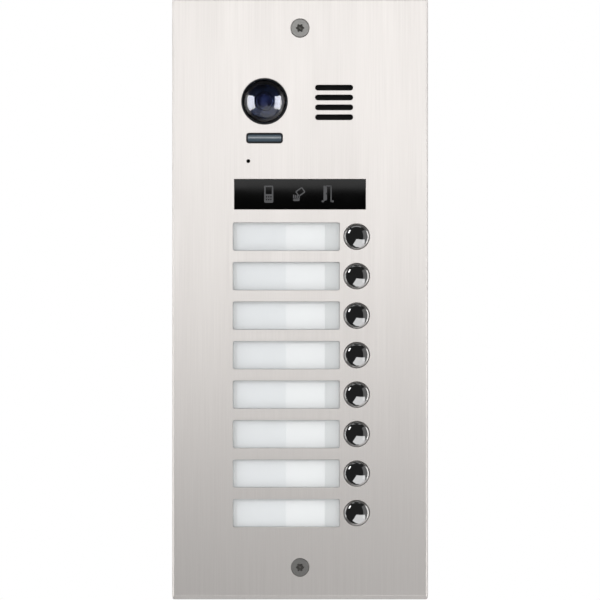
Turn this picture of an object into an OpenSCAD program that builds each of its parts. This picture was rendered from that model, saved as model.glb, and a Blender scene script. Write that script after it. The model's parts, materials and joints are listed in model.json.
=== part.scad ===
// Video entry panel: a bevelled steel faceplate with a tilting ball camera, a loudspeaker,
// a dark status window and a column of sprung call buttons beside lit name windows. Its
// boards sit in a rear cover that goes into the wall box behind the plate.
// Frame: +X right and +Z up as a visitor sees it, +Y into the wall. The origin is midway
// between the two fixing screws, on the wall plane where the gasket's rear face lies.

/* [Faceplate] */
// Width of the plate
plate_w = 140; // [140:1:180]
// Height of the plate
plate_h = 330; // [330:1:400]
// Thickness of the plate
plate_t = 3; // [3:0.1:4]
// Radius of the plate's corners
corner_r = 1.5; // [0.5:0.1:4]
// Width of the bevel on the two long edges
side_bevel = 1.1; // [0.5:0.1:2]
// Width of the bevel on the two short edges
end_bevel = 2.2; // [0.5:0.1:3]
// Depth of both bevels
bevel_depth = 1.2; // [0.5:0.1:2]

/* [Gasket] */
// Thickness of the foam gasket
gasket_t = 1.5; // [1:0.1:2]
// Width of the gasket's ring
gasket_w = 8; // [5:0.5:9]
// How far the gasket stays inside the plate's edge
gasket_inset = 1.5; // [1:0.1:3]

/* [Fixing screws] */
// Distance from the plate's end to the screw's centre
screw_end_gap = 17.5; // [16:0.5:20]
// Diameter of the screw's shank
screw_d = 5; // [4:0.5:5]
// Diameter of the screw's countersunk head
screw_head_d = 10; // [8:0.5:10]
// Diameter of the screw's neck, where the retaining washer sits
screw_neck_d = 4; // [3.6:0.1:4.4]
// Length of the screw
screw_len = 25; // [20:1:40]
// Width across the lobes of the drive recess
recess_d = 4.6; // [4:0.1:5]
// Depth of the drive recess
recess_depth = 1.6; // [1:0.1:2]
// Diameter of the anti-tamper pin in the recess
recess_pin_d = 1.3; // [1:0.1:1.5]
// Thickness of the retaining washer behind the plate
retainer_t = 1; // [0.6:0.1:1.5]
// Outer diameter of the retaining washer
retainer_d = 9; // [8:0.5:11]

/* [Layout] */
// Camera centre, sideways from the middle
camera_x = -19.4; // [-22:0.1:-19]
// Camera centre, below the plate's top edge
camera_drop = 57.6; // [56:0.1:60]
// Loudspeaker centre, sideways from the middle
speaker_x = 18.65; // [18:0.05:20]
// Loudspeaker centre, below the plate's top edge
speaker_drop = 58.2; // [56:0.1:60]
// Microphone hole, sideways from the middle
mic_x = -28.3; // [-30:0.1:-20]
// Microphone hole, below the plate's top edge
mic_drop = 90.3; // [90:0.1:91]
// Status window centre, below the plate's top edge
status_drop = 108.4; // [108:0.1:109]
// First name window and call button, below the plate's top edge
first_row_drop = 131.6; // [131:0.1:133]
// Distance from one call row to the next
row_pitch = 21.6; // [21:0.1:21.6]
// Number of call rows
row_count = 8; // [2:1:8]
// Name window centre, sideways from the middle
window_x = -7.5; // [-8:0.1:-7]
// Distance from a name window to the hole of its call button
window_gap = 2.3; // [2.3:0.1:3]

/* [Camera] */
// Diameter of the camera's hole in the plate
camera_hole_d = 25.4; // [21:0.1:27]
// Wall of the black bezel ring
bezel_wall = 1.1; // [0.8:0.1:1.5]
// How far the bezel stands out of the plate
bezel_proud = 0.5; // [0.2:0.1:1]
// Wall of the clear dome
dome_wall = 1; // [0.8:0.1:1.5]
// Free space between the dome and the camera ball
ball_gap = 0.5; // [0.4:0.1:1]
// Radius of the pins that the ball turns on
pivot_r = 1; // [0.8:0.1:1.2]
// Diameter of the lens barrel
barrel_d = 9; // [7:0.1:10]
// Diameter of the front lens
lens_d = 7; // [5:0.1:7]
// Side of the square camera board
camera_board_w = 13; // [10:0.5:13]
// Wall of the camera housing
housing_wall = 1.5; // [1:0.1:1.8]

/* [Light window] */
// Width of the light window under the camera
led_w = 20; // [18:0.5:22]
// Height of the light window
led_h = 5.7; // [5:0.1:6]
// Radius of the light window's corners
led_r = 1.6; // [1:0.1:2]
// Distance from the camera's hole down to the light window
led_gap = 4.55; // [4.5:0.05:5]
// Number of lamps behind the light window
lamp_count = 5; // [2:1:5]

/* [Loudspeaker] */
// Width of a speaker slot
slot_w = 20.7; // [18:0.1:24]
// Height of a speaker slot
slot_h = 3; // [2:0.1:3.5]
// Distance from one slot to the next
slot_pitch = 5.4; // [5:0.1:6]
// Number of speaker slots
slot_count = 4; // [2:1:5]
// Outer diameter of the loudspeaker
speaker_d = 40; // [36:1:41]
// Depth of the loudspeaker's basket
speaker_depth = 9; // [7:0.5:10]
// Diameter of the loudspeaker's magnet
magnet_d = 22; // [16:1:26]

/* [Microphone] */
// Diameter of the microphone hole
mic_hole_d = 2; // [1.5:0.1:2.5]
// Outer diameter of the microphone's rubber boot
mic_boot_d = 9; // [8:0.5:9]
// Diameter of the microphone capsule
mic_capsule_d = 6; // [5:0.5:6]

/* [Status window] */
// Width of the dark status window
status_w = 72; // [60:1:74]
// Height of the dark status window
status_h = 16.6; // [14:0.1:17]
// Thickness of the printed signs on the window
print_t = 0.1; // [0.05:0.05:0.2]

/* [Name windows] */
// Width of a name window
window_w = 58.5; // [50:0.5:59]
// Height of a name window
window_h = 15.4; // [12:0.1:15.5]
// Radius of a name window's corners
window_r = 1; // [0.5:0.1:2]
// How far a window's front stays behind the plate's front
window_recess = 0.8; // [0.4:0.1:1]
// Width of a name card
card_w = 48; // [40:1:50]
// Height of a name card
card_h = 14; // [10:0.5:14.5]
// Thickness of a name card
card_t = 0.3; // [0.2:0.1:0.4]
// Distance from the card's centre to the window's centre, sideways
card_shift = -2.9; // [-4:0.1:0]

/* [Call buttons] */
// Diameter of a button's domed cap
cap_d = 13.6; // [11:0.1:16.4]
// Height of the cap's dome
cap_rise = 3.5; // [2:0.1:4.5]
// How far the dome's edge stands out of the plate
cap_proud = 0.1; // [0:0.1:0.5]
// Free space round a cap in its hole
cap_gap = 0.15; // [0.1:0.05:0.3]
// How far a button travels when it is pressed
button_travel = 1.2; // [0.8:0.1:1.2]
// Wire diameter of a button's return spring
wire_d = 0.6; // [0.4:0.05:0.7]
// Number of turns of a return spring
spring_turns = 5; // [4:1:6]

/* [Boards] */
// Thickness of the circuit boards
board_t = 1.6; // [1:0.1:2]
// Height of the tactile switches
switch_h = 3.5; // [3:0.1:4]
// Distance between the keypad board and the main board
board_gap = 4.4; // [4:0.1:6]
// Width of the main board
main_board_w = 90; // [80:1:92]
// Height of the main board
main_board_h = 164; // [150:1:165]
// Number of terminals
terminal_count = 10; // [4:1:12]
// Distance from one terminal to the next
terminal_pitch = 5; // [5:0.1:5.5]

/* [Rear cover] */
// Distance from the plate's side to the cover's side
cover_side_gap = 18; // [17:0.5:19]
// Distance from the plate's end to the cover's end
cover_end_gap = 32; // [31:0.5:32.5]
// Wall of the rear cover
cover_wall = 2; // [1.5:0.1:2.5]
// Depth of the rear cover behind the wall plane
cover_depth = 27; // [26:0.5:32]
// Width of the opening for the cable
cable_w = 50; // [30:1:60]
// Height of the opening for the cable
cable_h = 18; // [12:1:24]
// Thickness of the lugs that the studs clamp
lug_t = 2; // [1.5:0.1:3]
// Diameter of the welded studs
stud_d = 3; // [3:0.1:3.5]
// Length of the welded studs
stud_len = 6.5; // [6:0.1:8]

/* [Hidden] */
$fn = 48;
TINY = 0.01;           // keeps a full round from closing on itself
GAP = 0.1;             // free space round a part that is set into another
FIT = 0.04;            // radial clearance of a shaft or a stud in its hole
SNUG = 0.05;           // clearance of a part that is pressed into its seat
ROOM = 0.2;            // clearance of a part that must move or pass freely
OVER = 1;              // how far a cutting shape runs past the surface it cuts
LIP = 1.5;             // how far a flange grips behind the edge of its opening
FLANGE = 1.2;          // thickness of the windows' and guides' flanges
RIB = 2;               // width of the ribs round the light shafts
LUG_EDGE = 3.2;        // how far a lug reaches past the middle of its stud
LUG_H = 12;            // height of a lug
STUD_BAND = 7;         // width kept free for the studs, beside the mouldings
SWITCH_W = 6;          // side of a square tactile switch
SCREW_SHANK_R = 1.25;  // the boards' screws
SCREW_HEAD_R = 2.4;
SCREW_HEAD_H = 1.4;
SCREW_GRIP = 5;        // how deep a board's screw goes into its boss
CASE_H = 4;            // height of the small switch and trimmer cases

// Depths, measured along Y from the wall plane
back_y = -gasket_t;
front_y = back_y - plate_t;
thread_y = back_y + retainer_t;
flange_y = back_y + FLANGE;
card_y = flange_y + card_t;
floor_y = card_y + card_t;
cap_y = front_y - cap_proud;
button_flange_y = flange_y + ROOM;
button_rear_y = button_flange_y + FLANGE;
stem_len = 2.1;
stem_y = button_rear_y + stem_len;
actuator_y = stem_y + button_travel + GAP;
actuator_h = 1;
keypad_y = actuator_y + actuator_h + switch_h;
main_y = keypad_y + board_t + board_gap;
main_back_y = main_y + board_t;
cover_y = cover_depth - cover_wall;
speaker_lip_y = back_y + 2 * ROOM;
mic_y = back_y + FLANGE;

// Heights, measured along Z from the origin
top_z = plate_h / 2;
camera_z = top_z - camera_drop;
speaker_z = top_z - speaker_drop;
mic_z = top_z - mic_drop;
status_z = top_z - status_drop;
led_x = camera_x;
led_z = camera_z - camera_hole_d / 2 - led_gap - led_h / 2;
screw_z = top_z - screw_end_gap;
rows_mid_z = row_z((row_count + 1) / 2);

// Sizes that follow from the driving ones
countersink = (screw_head_d - screw_d) / 2;
bezel_r = camera_hole_d / 2 - GAP;
dome_base_r = bezel_r - bezel_wall - SNUG;
ball_r = dome_base_r - dome_wall - ball_gap;
bezel_flange_t = 0.6;
dome_flange_t = 0.6;
dome_back_y = back_y + bezel_flange_t + dome_flange_t;
dome_y = dome_back_y + pivot_r + SNUG + ROOM;
bezel_y = front_y - bezel_proud;
dome_r = sqrt(pow(dome_base_r, 2) + pow(dome_y - bezel_y, 2));
housing_bore_r = dome_base_r + ROOM;
pin_seat = 0.6;
housing_r = housing_bore_r + housing_wall + pin_seat;
flange_reach = 2.8;
housing_flange_r = bezel_r + flange_reach;
housing_len = 15;
board_offset = 6;
cap_r = cap_d / 2;
hole_r = cap_r + cap_gap;
button_x = window_x + window_w / 2 + window_gap + hole_r;
guide_wall = 1.2;
guide_r = hole_r + guide_wall;
button_lip = 0.9;
button_flange_r = hole_r + button_lip;
stem_r = 2.5;
actuator_r = 1.75;
slot_r = slot_h / 2 - TINY;
dome_ball_r = (pow(cap_r, 2) + pow(cap_rise, 2)) / (2 * cap_rise);
spring_r = 5;
spring_y0 = button_rear_y + GAP;
spring_y1 = keypad_y - SNUG;
flange_w = window_w + 2;               // narrow, because the button is close
flange_h = window_h + 2 * LIP;
cover_w = plate_w - 2 * cover_side_gap;
cover_h = plate_h - 2 * cover_end_gap;
cover_in_w = cover_w - 2 * cover_wall;

// The chassis mouldings behind the plate share the width between their stud lugs
chassis_w = cover_in_w - 2 * STUD_BAND;
chassis_wall = 2;
lug_x = chassis_w / 2 + LUG_EDGE + GAP;
ear_x = cover_w / 2 + STUD_BAND / 2;
nut_af = 5.5;
nut_h = 2.4;
bracket_top_z = max(camera_z + housing_flange_r, speaker_z + speaker_d / 2) + chassis_wall + 1;
bracket_low_z = mic_z - mic_boot_d / 2 - 2.2;
bracket_y = dome_back_y + 1.5;
bracket_back_y = bracket_y + chassis_wall;
carrier_top_z = row_z(1) + flange_h / 2 + 1.2;
carrier_low_z = row_z(row_count) - flange_h / 2 - 1.2;
carrier_mid_z = (carrier_top_z + carrier_low_z) / 2;
carrier_h = carrier_top_z - carrier_low_z;
bracket_mid_z = (bracket_top_z + bracket_low_z) / 2;
bracket_h = bracket_top_z - bracket_low_z;

// Places of the studs: on the cover's ears, and on the lugs of the two mouldings
ear_places = [for (side = [-1, 1], i = [0:3]) [side * ear_x, (i - 1.5) * cover_h / 4]];
carrier_places = [for (side = [-1, 1], i = [-1:1])
    [side * lug_x, carrier_mid_z + i * (carrier_h / 2 - 10)]];
bracket_places = [for (side = [-1, 1], end = [-1, 1])
    [side * lug_x, bracket_mid_z + end * (bracket_h / 2 - 8)]];
stud_places = concat(ear_places, carrier_places, bracket_places);

// Places of the screws that hold the two large boards
keypad_screws = [for (x = [window_x - window_w / 2 - 1, window_x + window_w / 2 - 4.5],
    row = [1, row_count - 1]) [x, row_z(row) - row_pitch / 2]];
main_screws = [for (side = [-1, 1], end = [-1, 1])
    [side * (main_board_w / 2 - 5), rows_mid_z + end * (main_board_h / 2 - 5)]];

// What stands on the main board and shows through the rear cover
terminal_w = terminal_count * terminal_pitch + 2;
terminal_screw_z = 2.6;
terminal_screw_r = 1.7;
terminal_depth = 3;
terminal_h = 12;
terminal_z = rows_mid_z - main_board_h / 2 + 30;
terminal_back_y = cover_depth - 2 * ROOM;
dip_x = -20;
dial_x = 20;
tamper_x = 0;
tools_z = rows_mid_z + 40;
cable_z = (tools_z + terminal_z) / 2;
dip_w = 7;
dip_h = 9;
dip_pitch = 2.54;
dip_travel = 1;
slider_w = 1.3;
slider_h = 1.6;
trimmer_w = 8;
dial_r = 3.2;
spindle_r = 1.2;
tamper_w = 8;
plunger_r = 1.8;
tamper_travel = 2;
tamper_back_y = main_back_y + 6;
tamper_floor = 0.8;
trimmer_floor = 1.5;
dip_floor = 2;

function row_z(k) = top_z - first_row_drop - (k - 1) * row_pitch;

// A flat outline extruded along Y, from y0 to y1, with its own y drawn along Z
module along_y(y0, y1) {
    translate([0, y1, 0]) rotate([90, 0, 0]) linear_extrude(y1 - y0) children();
}

// A round bar along Y
module bar(x, z, r, y0, y1) {
    translate([x, y1, z]) rotate([90, 0, 0]) cylinder(r = r, h = y1 - y0);
}

// A cone along Y whose radius goes from r0 at y0 to r1 at y1
module taper(x, z, r0, r1, y0, y1) {
    translate([x, y1, z]) rotate([90, 0, 0]) cylinder(r1 = r1, r2 = r0, h = y1 - y0);
}

// A block centred at x and z that reaches from y0 to y1
module block(x, z, w, h, y0, y1) {
    translate([x - w / 2, y0, z - h / 2]) cube([w, y1 - y0, h]);
}

module rounded(w, h, r) {
    square([w - 2 * r, h], center = true);
    square([w, h - 2 * r], center = true);
    for (x = [-1, 1], y = [-1, 1]) translate([x * (w / 2 - r), y * (h / 2 - r)]) circle(r);
}

// A block with rounded corners, seen from the front
module rounded_block(x, z, w, h, r, y0, y1) {
    translate([x, 0, z]) along_y(y0, y1) rounded(w, h, r);
}

// The edge of a plate that is bevelled on its front: length along x, front towards -y
module bevelled(length, bevel) {
    half = length / 2;
    polygon([[-half, back_y], [-half, front_y + bevel_depth], [-half + bevel, front_y],
             [half - bevel, front_y], [half, front_y + bevel_depth], [half, back_y]]);
}

module faceplate() {
    head_room = ROOM + SNUG;
    chamfer = 0.3;
    color("silver") difference() {
        intersection() {
            rounded_block(0, 0, plate_w, plate_h, corner_r, front_y, back_y);
            translate([0, 0, -plate_h]) linear_extrude(2 * plate_h) bevelled(plate_w, side_bevel);
            rotate([0, 90, 0]) translate([0, 0, -plate_w])
                linear_extrude(2 * plate_w) bevelled(plate_h, end_bevel);
        }
        for (side = [-1, 1]) {
            bar(0, side * screw_z, screw_d / 2 + ROOM, front_y - OVER, back_y + OVER);
            taper(0, side * screw_z, screw_head_d / 2 + head_room, screw_d / 2 + ROOM,
                front_y, front_y + countersink + SNUG);
        }
        bar(camera_x, camera_z, camera_hole_d / 2, front_y - OVER, back_y + OVER);
        bar(mic_x, mic_z, mic_hole_d / 2, front_y - OVER, back_y + OVER);
        rounded_block(led_x, led_z, led_w, led_h, led_r, front_y - OVER, back_y + OVER);
        for (i = [0:slot_count - 1])
            rounded_block(speaker_x, speaker_z + (i - (slot_count - 1) / 2) * slot_pitch,
                slot_w, slot_h, slot_r, front_y - OVER, back_y + OVER);
        block(0, status_z, status_w, status_h, front_y - OVER, back_y + OVER);
        for (k = [1:row_count]) {
            rounded_block(window_x, row_z(k), window_w, window_h, window_r,
                front_y - OVER, back_y + OVER);
            bar(button_x, row_z(k), hole_r, front_y - OVER, back_y + OVER);
            taper(button_x, row_z(k), hole_r + chamfer, hole_r, front_y, front_y + chamfer);
        }
    }
}

module wall_gasket() {
    color("dimgray") along_y(back_y, 0) difference() {
        square([plate_w - 2 * gasket_inset, plate_h - 2 * gasket_inset], center = true);
        square([plate_w - 2 * gasket_inset - 2 * gasket_w,
                plate_h - 2 * gasket_inset - 2 * gasket_w], center = true);
    }
}

module weld_studs() {
    color("silver") for (p = stud_places) bar(p[0], p[1], stud_d / 2, back_y, back_y + stud_len);
}

module stud_nuts() {
    color("gainsboro") for (p = stud_places) {
        seat_y = back_y + lug_t;
        translate([p[0], seat_y + nut_h, p[1]]) rotate([90, 0, 0]) difference() {
            cylinder(r = nut_af / sqrt(3), h = nut_h, $fn = 6);
            translate([0, 0, -OVER]) cylinder(r = stud_d / 2 + FIT, h = nut_h + 2 * OVER);
        }
    }
}

// The six-lobe drive recess seen from the front, with the pin left standing in its middle
module drive_recess() {
    lobe_r = 0.5;
    core_r = recess_d / 2 - lobe_r - SNUG;
    difference() {
        union() {
            circle(r = core_r);
            for (i = [0:5]) rotate(60 * i) translate([recess_d / 2 - lobe_r, 0]) circle(r = lobe_r);
        }
        circle(r = recess_pin_d / 2);
    }
}

module fixing_screws() {
    color("gray") for (side = [-1, 1]) difference() {
        union() {
            taper(0, side * screw_z, screw_head_d / 2, screw_d / 2, front_y, front_y + countersink);
            bar(0, side * screw_z, screw_neck_d / 2, front_y + countersink, thread_y);
            bar(0, side * screw_z, screw_d / 2, thread_y, front_y + screw_len);
        }
        translate([0, 0, side * screw_z])
            along_y(front_y - OVER, front_y + recess_depth) drive_recess();
    }
}

module screw_retainers() {
    color("black") for (side = [-1, 1]) difference() {
        bar(0, side * screw_z, retainer_d / 2, back_y, thread_y);
        bar(0, side * screw_z, screw_neck_d / 2 + FIT, back_y - OVER, thread_y + OVER);
    }
}

module camera_bezel() {
    mouth = 0.5;
    bore_r = dome_base_r + SNUG;
    color("black") difference() {
        union() {
            bar(camera_x, camera_z, bezel_r, bezel_y, back_y);
            bar(camera_x, camera_z, housing_flange_r, back_y, back_y + bezel_flange_t);
        }
        bar(camera_x, camera_z, bore_r, bezel_y - OVER, back_y + bezel_flange_t + OVER);
        taper(camera_x, camera_z, bore_r + mouth + SNUG, bore_r, bezel_y, bezel_y + mouth);
    }
}

module camera_dome() {
    skirt_r = dome_base_r - dome_wall;
    skirt_y = bezel_y + 1.5;
    flange_r = bezel_r + 1;
    color("lightskyblue", 0.4) difference() {
        union() {
            intersection() {
                translate([camera_x, dome_y, camera_z]) sphere(r = dome_r);
                bar(camera_x, camera_z, dome_base_r, dome_y - dome_r - OVER, dome_back_y);
            }
            bar(camera_x, camera_z, flange_r, dome_back_y - dome_flange_t, dome_back_y);
        }
        intersection() {
            translate([camera_x, dome_y, camera_z]) sphere(r = dome_r - dome_wall);
            bar(camera_x, camera_z, skirt_r, dome_y - dome_r, dome_back_y + OVER);
        }
        bar(camera_x, camera_z, skirt_r, skirt_y, dome_back_y + OVER);
    }
}

module camera_housing() {
    color("dimgray") difference() {
        union() {
            bar(camera_x, camera_z, housing_flange_r, dome_back_y, bracket_y);
            bar(camera_x, camera_z, housing_r, dome_back_y, dome_back_y + housing_len);
        }
        bar(camera_x, camera_z, housing_bore_r, dome_back_y - OVER,
            dome_back_y + housing_len - housing_wall);
        translate([camera_x - 2 * housing_r, dome_y, camera_z]) rotate([0, 90, 0])
            cylinder(r = pivot_r + FIT, h = 4 * housing_r);
    }
}

// The ball that carries the lens; its pins turn in the housing, so it tilts about X
module camera_ball() {
    pin_inset = 0.5;
    pin_end = housing_r - pin_inset;
    color("#202226") difference() {
        union() {
            intersection() {
                translate([camera_x, dome_y, camera_z]) sphere(r = ball_r);
                block(camera_x, camera_z, 4 * ball_r, 4 * ball_r,
                    dome_y - 2 * ball_r, dome_y + board_offset);
            }
            translate([camera_x - pin_end, dome_y, camera_z]) rotate([0, 90, 0])
                cylinder(r = pivot_r, h = 2 * pin_end);
        }
        bar(camera_x, camera_z, barrel_d / 2 + FIT, dome_y - 2 * ball_r, dome_y + 2 * ball_r);
    }
}

module lens_barrel() {
    floor_t = 2;
    mouth = 0.7;
    mouth_depth = 1.2;
    color("#16171a") difference() {
        bar(camera_x, camera_z, barrel_d / 2, dome_y - ball_r, dome_y + board_offset);
        bar(camera_x, camera_z, lens_d / 2, dome_y - ball_r - OVER, dome_y + board_offset - floor_t);
        taper(camera_x, camera_z, lens_d / 2 + mouth, lens_d / 2, dome_y - ball_r,
            dome_y - ball_r + mouth_depth);
    }
}

module lens_glass() {
    lens_r = 6;
    lens_t = 3.5;
    lens_inset = 1.3;
    lens_front_y = dome_y - ball_r + lens_inset;
    color("#33406a") intersection() {
        translate([camera_x, lens_front_y + lens_r, camera_z]) sphere(r = lens_r);
        bar(camera_x, camera_z, lens_d / 2 - FIT, lens_front_y, lens_front_y + lens_t);
    }
}

module camera_board() {
    color("darkgreen") block(camera_x, camera_z, camera_board_w, camera_board_w,
        dome_y + board_offset, dome_y + board_offset + board_t);
}

module light_window() {
    color("lightsteelblue", 0.7) {
        rounded_block(led_x, led_z, led_w - 2 * GAP, led_h - 2 * GAP, led_r - GAP,
            front_y, back_y);
        rounded_block(led_x, led_z, led_w + 2 * LIP, led_h + 2 * LIP, led_r - GAP,
            back_y, bracket_y);
    }
}

module light_board() {
    end_margin = 4;
    edge_margin = 2.5;
    color("darkgreen") block(led_x, led_z, led_w + 2 * end_margin, led_h + 2 * edge_margin,
        bracket_back_y, bracket_back_y + board_t);
}

module light_lamps() {
    lamp_w = 2.8;
    color("khaki") for (i = [0:lamp_count - 1])
        block(led_x + (i - (lamp_count - 1) / 2) * led_w / lamp_count, led_z, lamp_w, lamp_w,
            bracket_y + 2 * ROOM, bracket_back_y);
}

module speaker_membrane() {
    inset = 1;
    color("black") bar(speaker_x, speaker_z, speaker_d / 2 - inset, back_y, speaker_lip_y);
}

module speaker_frame() {
    rim_t = 1.6;
    rim_w = 2.5;
    lip_t = 0.8;
    wall = 1;
    opening_w = 7;
    opening_h = 9;
    slope_y = speaker_lip_y + rim_t;
    color("gray") difference() {
        union() {
            bar(speaker_x, speaker_z, speaker_d / 2, speaker_lip_y, slope_y);
            taper(speaker_x, speaker_z, speaker_d / 2 - rim_w + wall, magnet_d / 2 + wall,
                slope_y, speaker_lip_y + speaker_depth);
        }
        taper(speaker_x, speaker_z, speaker_d / 2 - rim_w, magnet_d / 2 - 2 * wall,
            speaker_lip_y + lip_t, speaker_lip_y + speaker_depth - wall);
        bar(speaker_x, speaker_z, speaker_d / 2 - rim_w, speaker_lip_y - OVER,
            speaker_lip_y + lip_t);
        for (i = [0:3]) translate([speaker_x, 0, speaker_z]) rotate([0, 45 + 90 * i, 0])
            block(speaker_d / 2 - 2 * rim_w, 0, opening_w, opening_h,
                slope_y + FLANGE, speaker_lip_y + speaker_depth - rim_t);
    }
}

module speaker_cone() {
    edge_r = speaker_d / 2 - 2.6;
    core_r = magnet_d / 2 - 3;
    paper_t = 0.5;
    hollow_y = speaker_lip_y + GAP;
    slope_y = hollow_y + paper_t;
    back_end_y = speaker_lip_y + 5;
    color("#2b2b2b") difference() {
        union() {
            bar(speaker_x, speaker_z, edge_r, hollow_y, slope_y);
            taper(speaker_x, speaker_z, edge_r - 1, core_r, slope_y, back_end_y);
        }
        taper(speaker_x, speaker_z, edge_r - 1.6, core_r - 0.8, hollow_y, back_end_y - paper_t);
    }
}

module speaker_magnet() {
    magnet_t = 7;
    color("darkgray") bar(speaker_x, speaker_z, magnet_d / 2,
        speaker_lip_y + speaker_depth, speaker_lip_y + speaker_depth + magnet_t);
}

module mic_boot() {
    color("black") difference() {
        bar(mic_x, mic_z, mic_boot_d / 2, back_y, bracket_back_y);
        bar(mic_x, mic_z, mic_capsule_d / 2 + FIT, mic_y, bracket_back_y + OVER);
        bar(mic_x, mic_z, mic_hole_d / 2, back_y - OVER, mic_y + OVER - ROOM);
    }
}

module mic_capsule() {
    color("silver") bar(mic_x, mic_z, mic_capsule_d / 2, mic_y, bracket_back_y);
}

// A lug round a stud at place p, growing out of a side wall whose inner face is at root_x
module lug(p, root_x) {
    reach = abs(p[0]) + LUG_EDGE - root_x;
    difference() {
        block(sign(p[0]) * (root_x + reach / 2), p[1], reach, LUG_H, back_y, back_y + lug_t);
        bar(p[0], p[1], stud_d / 2 + ROOM, back_y - OVER, back_y + lug_t + OVER);
    }
}

// The moulding that clamps the camera, the light window, the loudspeaker and the microphone
module upper_bracket() {
    inner_w = chassis_w - 2 * chassis_wall;
    speaker_seat = 1.4;
    color("#3a3d40") {
        difference() {
            block(0, bracket_mid_z, chassis_w, bracket_h, back_y, bracket_back_y);
            block(0, bracket_mid_z, inner_w, bracket_h - 2 * chassis_wall,
                back_y - OVER, bracket_y);
            bar(camera_x, camera_z, housing_r + GAP, bracket_y - OVER, bracket_back_y + OVER);
            bar(speaker_x, speaker_z, speaker_d / 2 - speaker_seat,
                bracket_y - OVER, bracket_back_y + OVER);
            bar(mic_x, mic_z, mic_boot_d / 2 + SNUG, bracket_y - OVER, bracket_back_y + OVER);
            block(led_x, led_z, led_w, led_h, bracket_y - OVER, bracket_back_y + OVER);
        }
        for (p = bracket_places) lug(p, inner_w / 2);
    }
}

module status_window() {
    color("#08080a") {
        block(0, status_z, status_w - 2 * GAP, status_h - 2 * GAP, front_y, back_y);
        block(0, status_z, status_w + 2 * LIP, status_h + 2 * LIP, back_y, back_y + LIP);
    }
}

// One wave of the middle sign: an arc of a ring, on its +x side
module wave(r) {
    half_line = 0.3;
    difference() {
        circle(r = r + half_line);
        circle(r = r - half_line);
        translate([-2 * r - 1, -r - 1]) square([2 * r + 1 + r / 2, 2 * r + 2]);
    }
}

// The three printed signs: an entry phone, a held tag with its waves, and an open door
module status_signs() {
    phone_x = -17.1;
    tag_x = -0.9;
    door_x = 15.1;
    color("gray") translate([0, 0, status_z]) along_y(front_y - print_t, front_y) {
        translate([phone_x, 0]) {
            difference() {
                rounded(5, 9.2, 1);
                translate([0, 1]) square([3.4, 4.6], center = true);
                translate([0, -3]) circle(r = 0.7);
            }
        }
        translate([tag_x, 0]) {
            translate([-2.4, 0]) rounded(2.6, 7.2, 1.2);
            for (r = [1.6, 3.2, 4.8]) translate([-1.2, 0]) wave(r);
        }
        translate([door_x, 0]) {
            difference() {
                square([7, 9.4], center = true);
                translate([0.2, -0.5]) square([5.2, 9.4], center = true);
            }
            polygon([[-2.4, -4.7], [1.2, -3.4], [1.2, 4.6], [-2.4, 3.9]]);
        }
    }
}

module reader_board() {
    color("darkgreen") block(0, status_z, status_w + 2 * LIP, status_h + 2 * LIP,
        back_y + LIP, back_y + LIP + board_t);
}

// The light-coloured moulding behind the call rows: pockets hold the windows and the cards,
// shafts lead the lamps' light to the cards, and bores guide the buttons
module name_carrier() {
    color("whitesmoke") difference() {
        union() {
            block(0, carrier_mid_z, chassis_w, carrier_h, back_y, keypad_y);
            for (p = carrier_places) lug(p, chassis_w / 2 - chassis_wall);
        }
        for (k = [1:row_count]) {
            block(window_x, row_z(k), flange_w + 2 * GAP, flange_h + 2 * GAP,
                back_y - OVER, flange_y);
            block(window_x, row_z(k), window_w, window_h, flange_y - OVER, floor_y);
            for (half = [-1, 1])
                block(window_x + card_shift + half * card_w / 4, row_z(k), card_w / 2 - RIB,
                    card_h - 2 * RIB, floor_y - OVER, keypad_y + OVER);
            bar(button_x, row_z(k), guide_r + GAP, back_y - OVER, flange_y);
            bar(button_x, row_z(k), button_flange_r + ROOM + GAP,
                flange_y - OVER, keypad_y + OVER);
        }
        for (p = keypad_screws)
            bar(p[0], p[1], SCREW_SHANK_R + FIT, keypad_y - SCREW_GRIP - 1, keypad_y + OVER);
    }
}

module name_cards() {
    color("white") for (k = [1:row_count])
        block(window_x + card_shift, row_z(k) - (window_h - card_h) / 2 + GAP, card_w, card_h,
            card_y, floor_y);
}

module name_windows() {
    color("azure", 0.4) for (k = [1:row_count]) {
        rounded_block(window_x, row_z(k), window_w - 2 * GAP, window_h - 2 * GAP,
            window_r - GAP, front_y + window_recess, back_y);
        block(window_x, row_z(k), flange_w, flange_h, back_y, flange_y);
    }
}

module button_guides() {
    color("dimgray") for (k = [1:row_count]) difference() {
        bar(button_x, row_z(k), guide_r, back_y, flange_y);
        bar(button_x, row_z(k), hole_r, back_y - OVER, flange_y + OVER);
    }
}

module call_button(k) {
    color("gainsboro") {
        intersection() {
            translate([button_x, cap_y - cap_rise + dome_ball_r, row_z(k)]) sphere(r = dome_ball_r);
            bar(button_x, row_z(k), cap_r, cap_y - cap_rise - OVER, button_flange_y);
        }
        bar(button_x, row_z(k), button_flange_r, button_flange_y, button_rear_y);
        bar(button_x, row_z(k), stem_r, button_rear_y, stem_y);
    }
}

// A coil of round wire between the button's flange and the keypad board
module button_spring(k) {
    sides = 6;
    per_turn = 12;
    rings = spring_turns * per_turn;
    wire_r = wire_d / 2;
    length = spring_y1 - spring_y0 - wire_d;
    points = [for (i = [0:rings], s = [0:sides - 1])
        let (a = 360 * i / per_turn, b = 360 * s / sides, r = spring_r + wire_r * cos(b))
        [button_x + r * cos(a),
         spring_y0 + wire_r + length * i / rings + wire_r * sin(b),
         row_z(k) + r * sin(a)]];
    walls = [for (i = [0:rings - 1], s = [0:sides - 1])
        let (t = (s + 1) % sides)
        [i * sides + s, i * sides + t, (i + 1) * sides + t, (i + 1) * sides + s]];
    ends = [[for (s = [0:sides - 1]) sides - 1 - s], [for (s = [0:sides - 1]) rings * sides + s]];
    color("silver") polyhedron(points, concat(walls, ends), convexity = 10);
}

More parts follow.
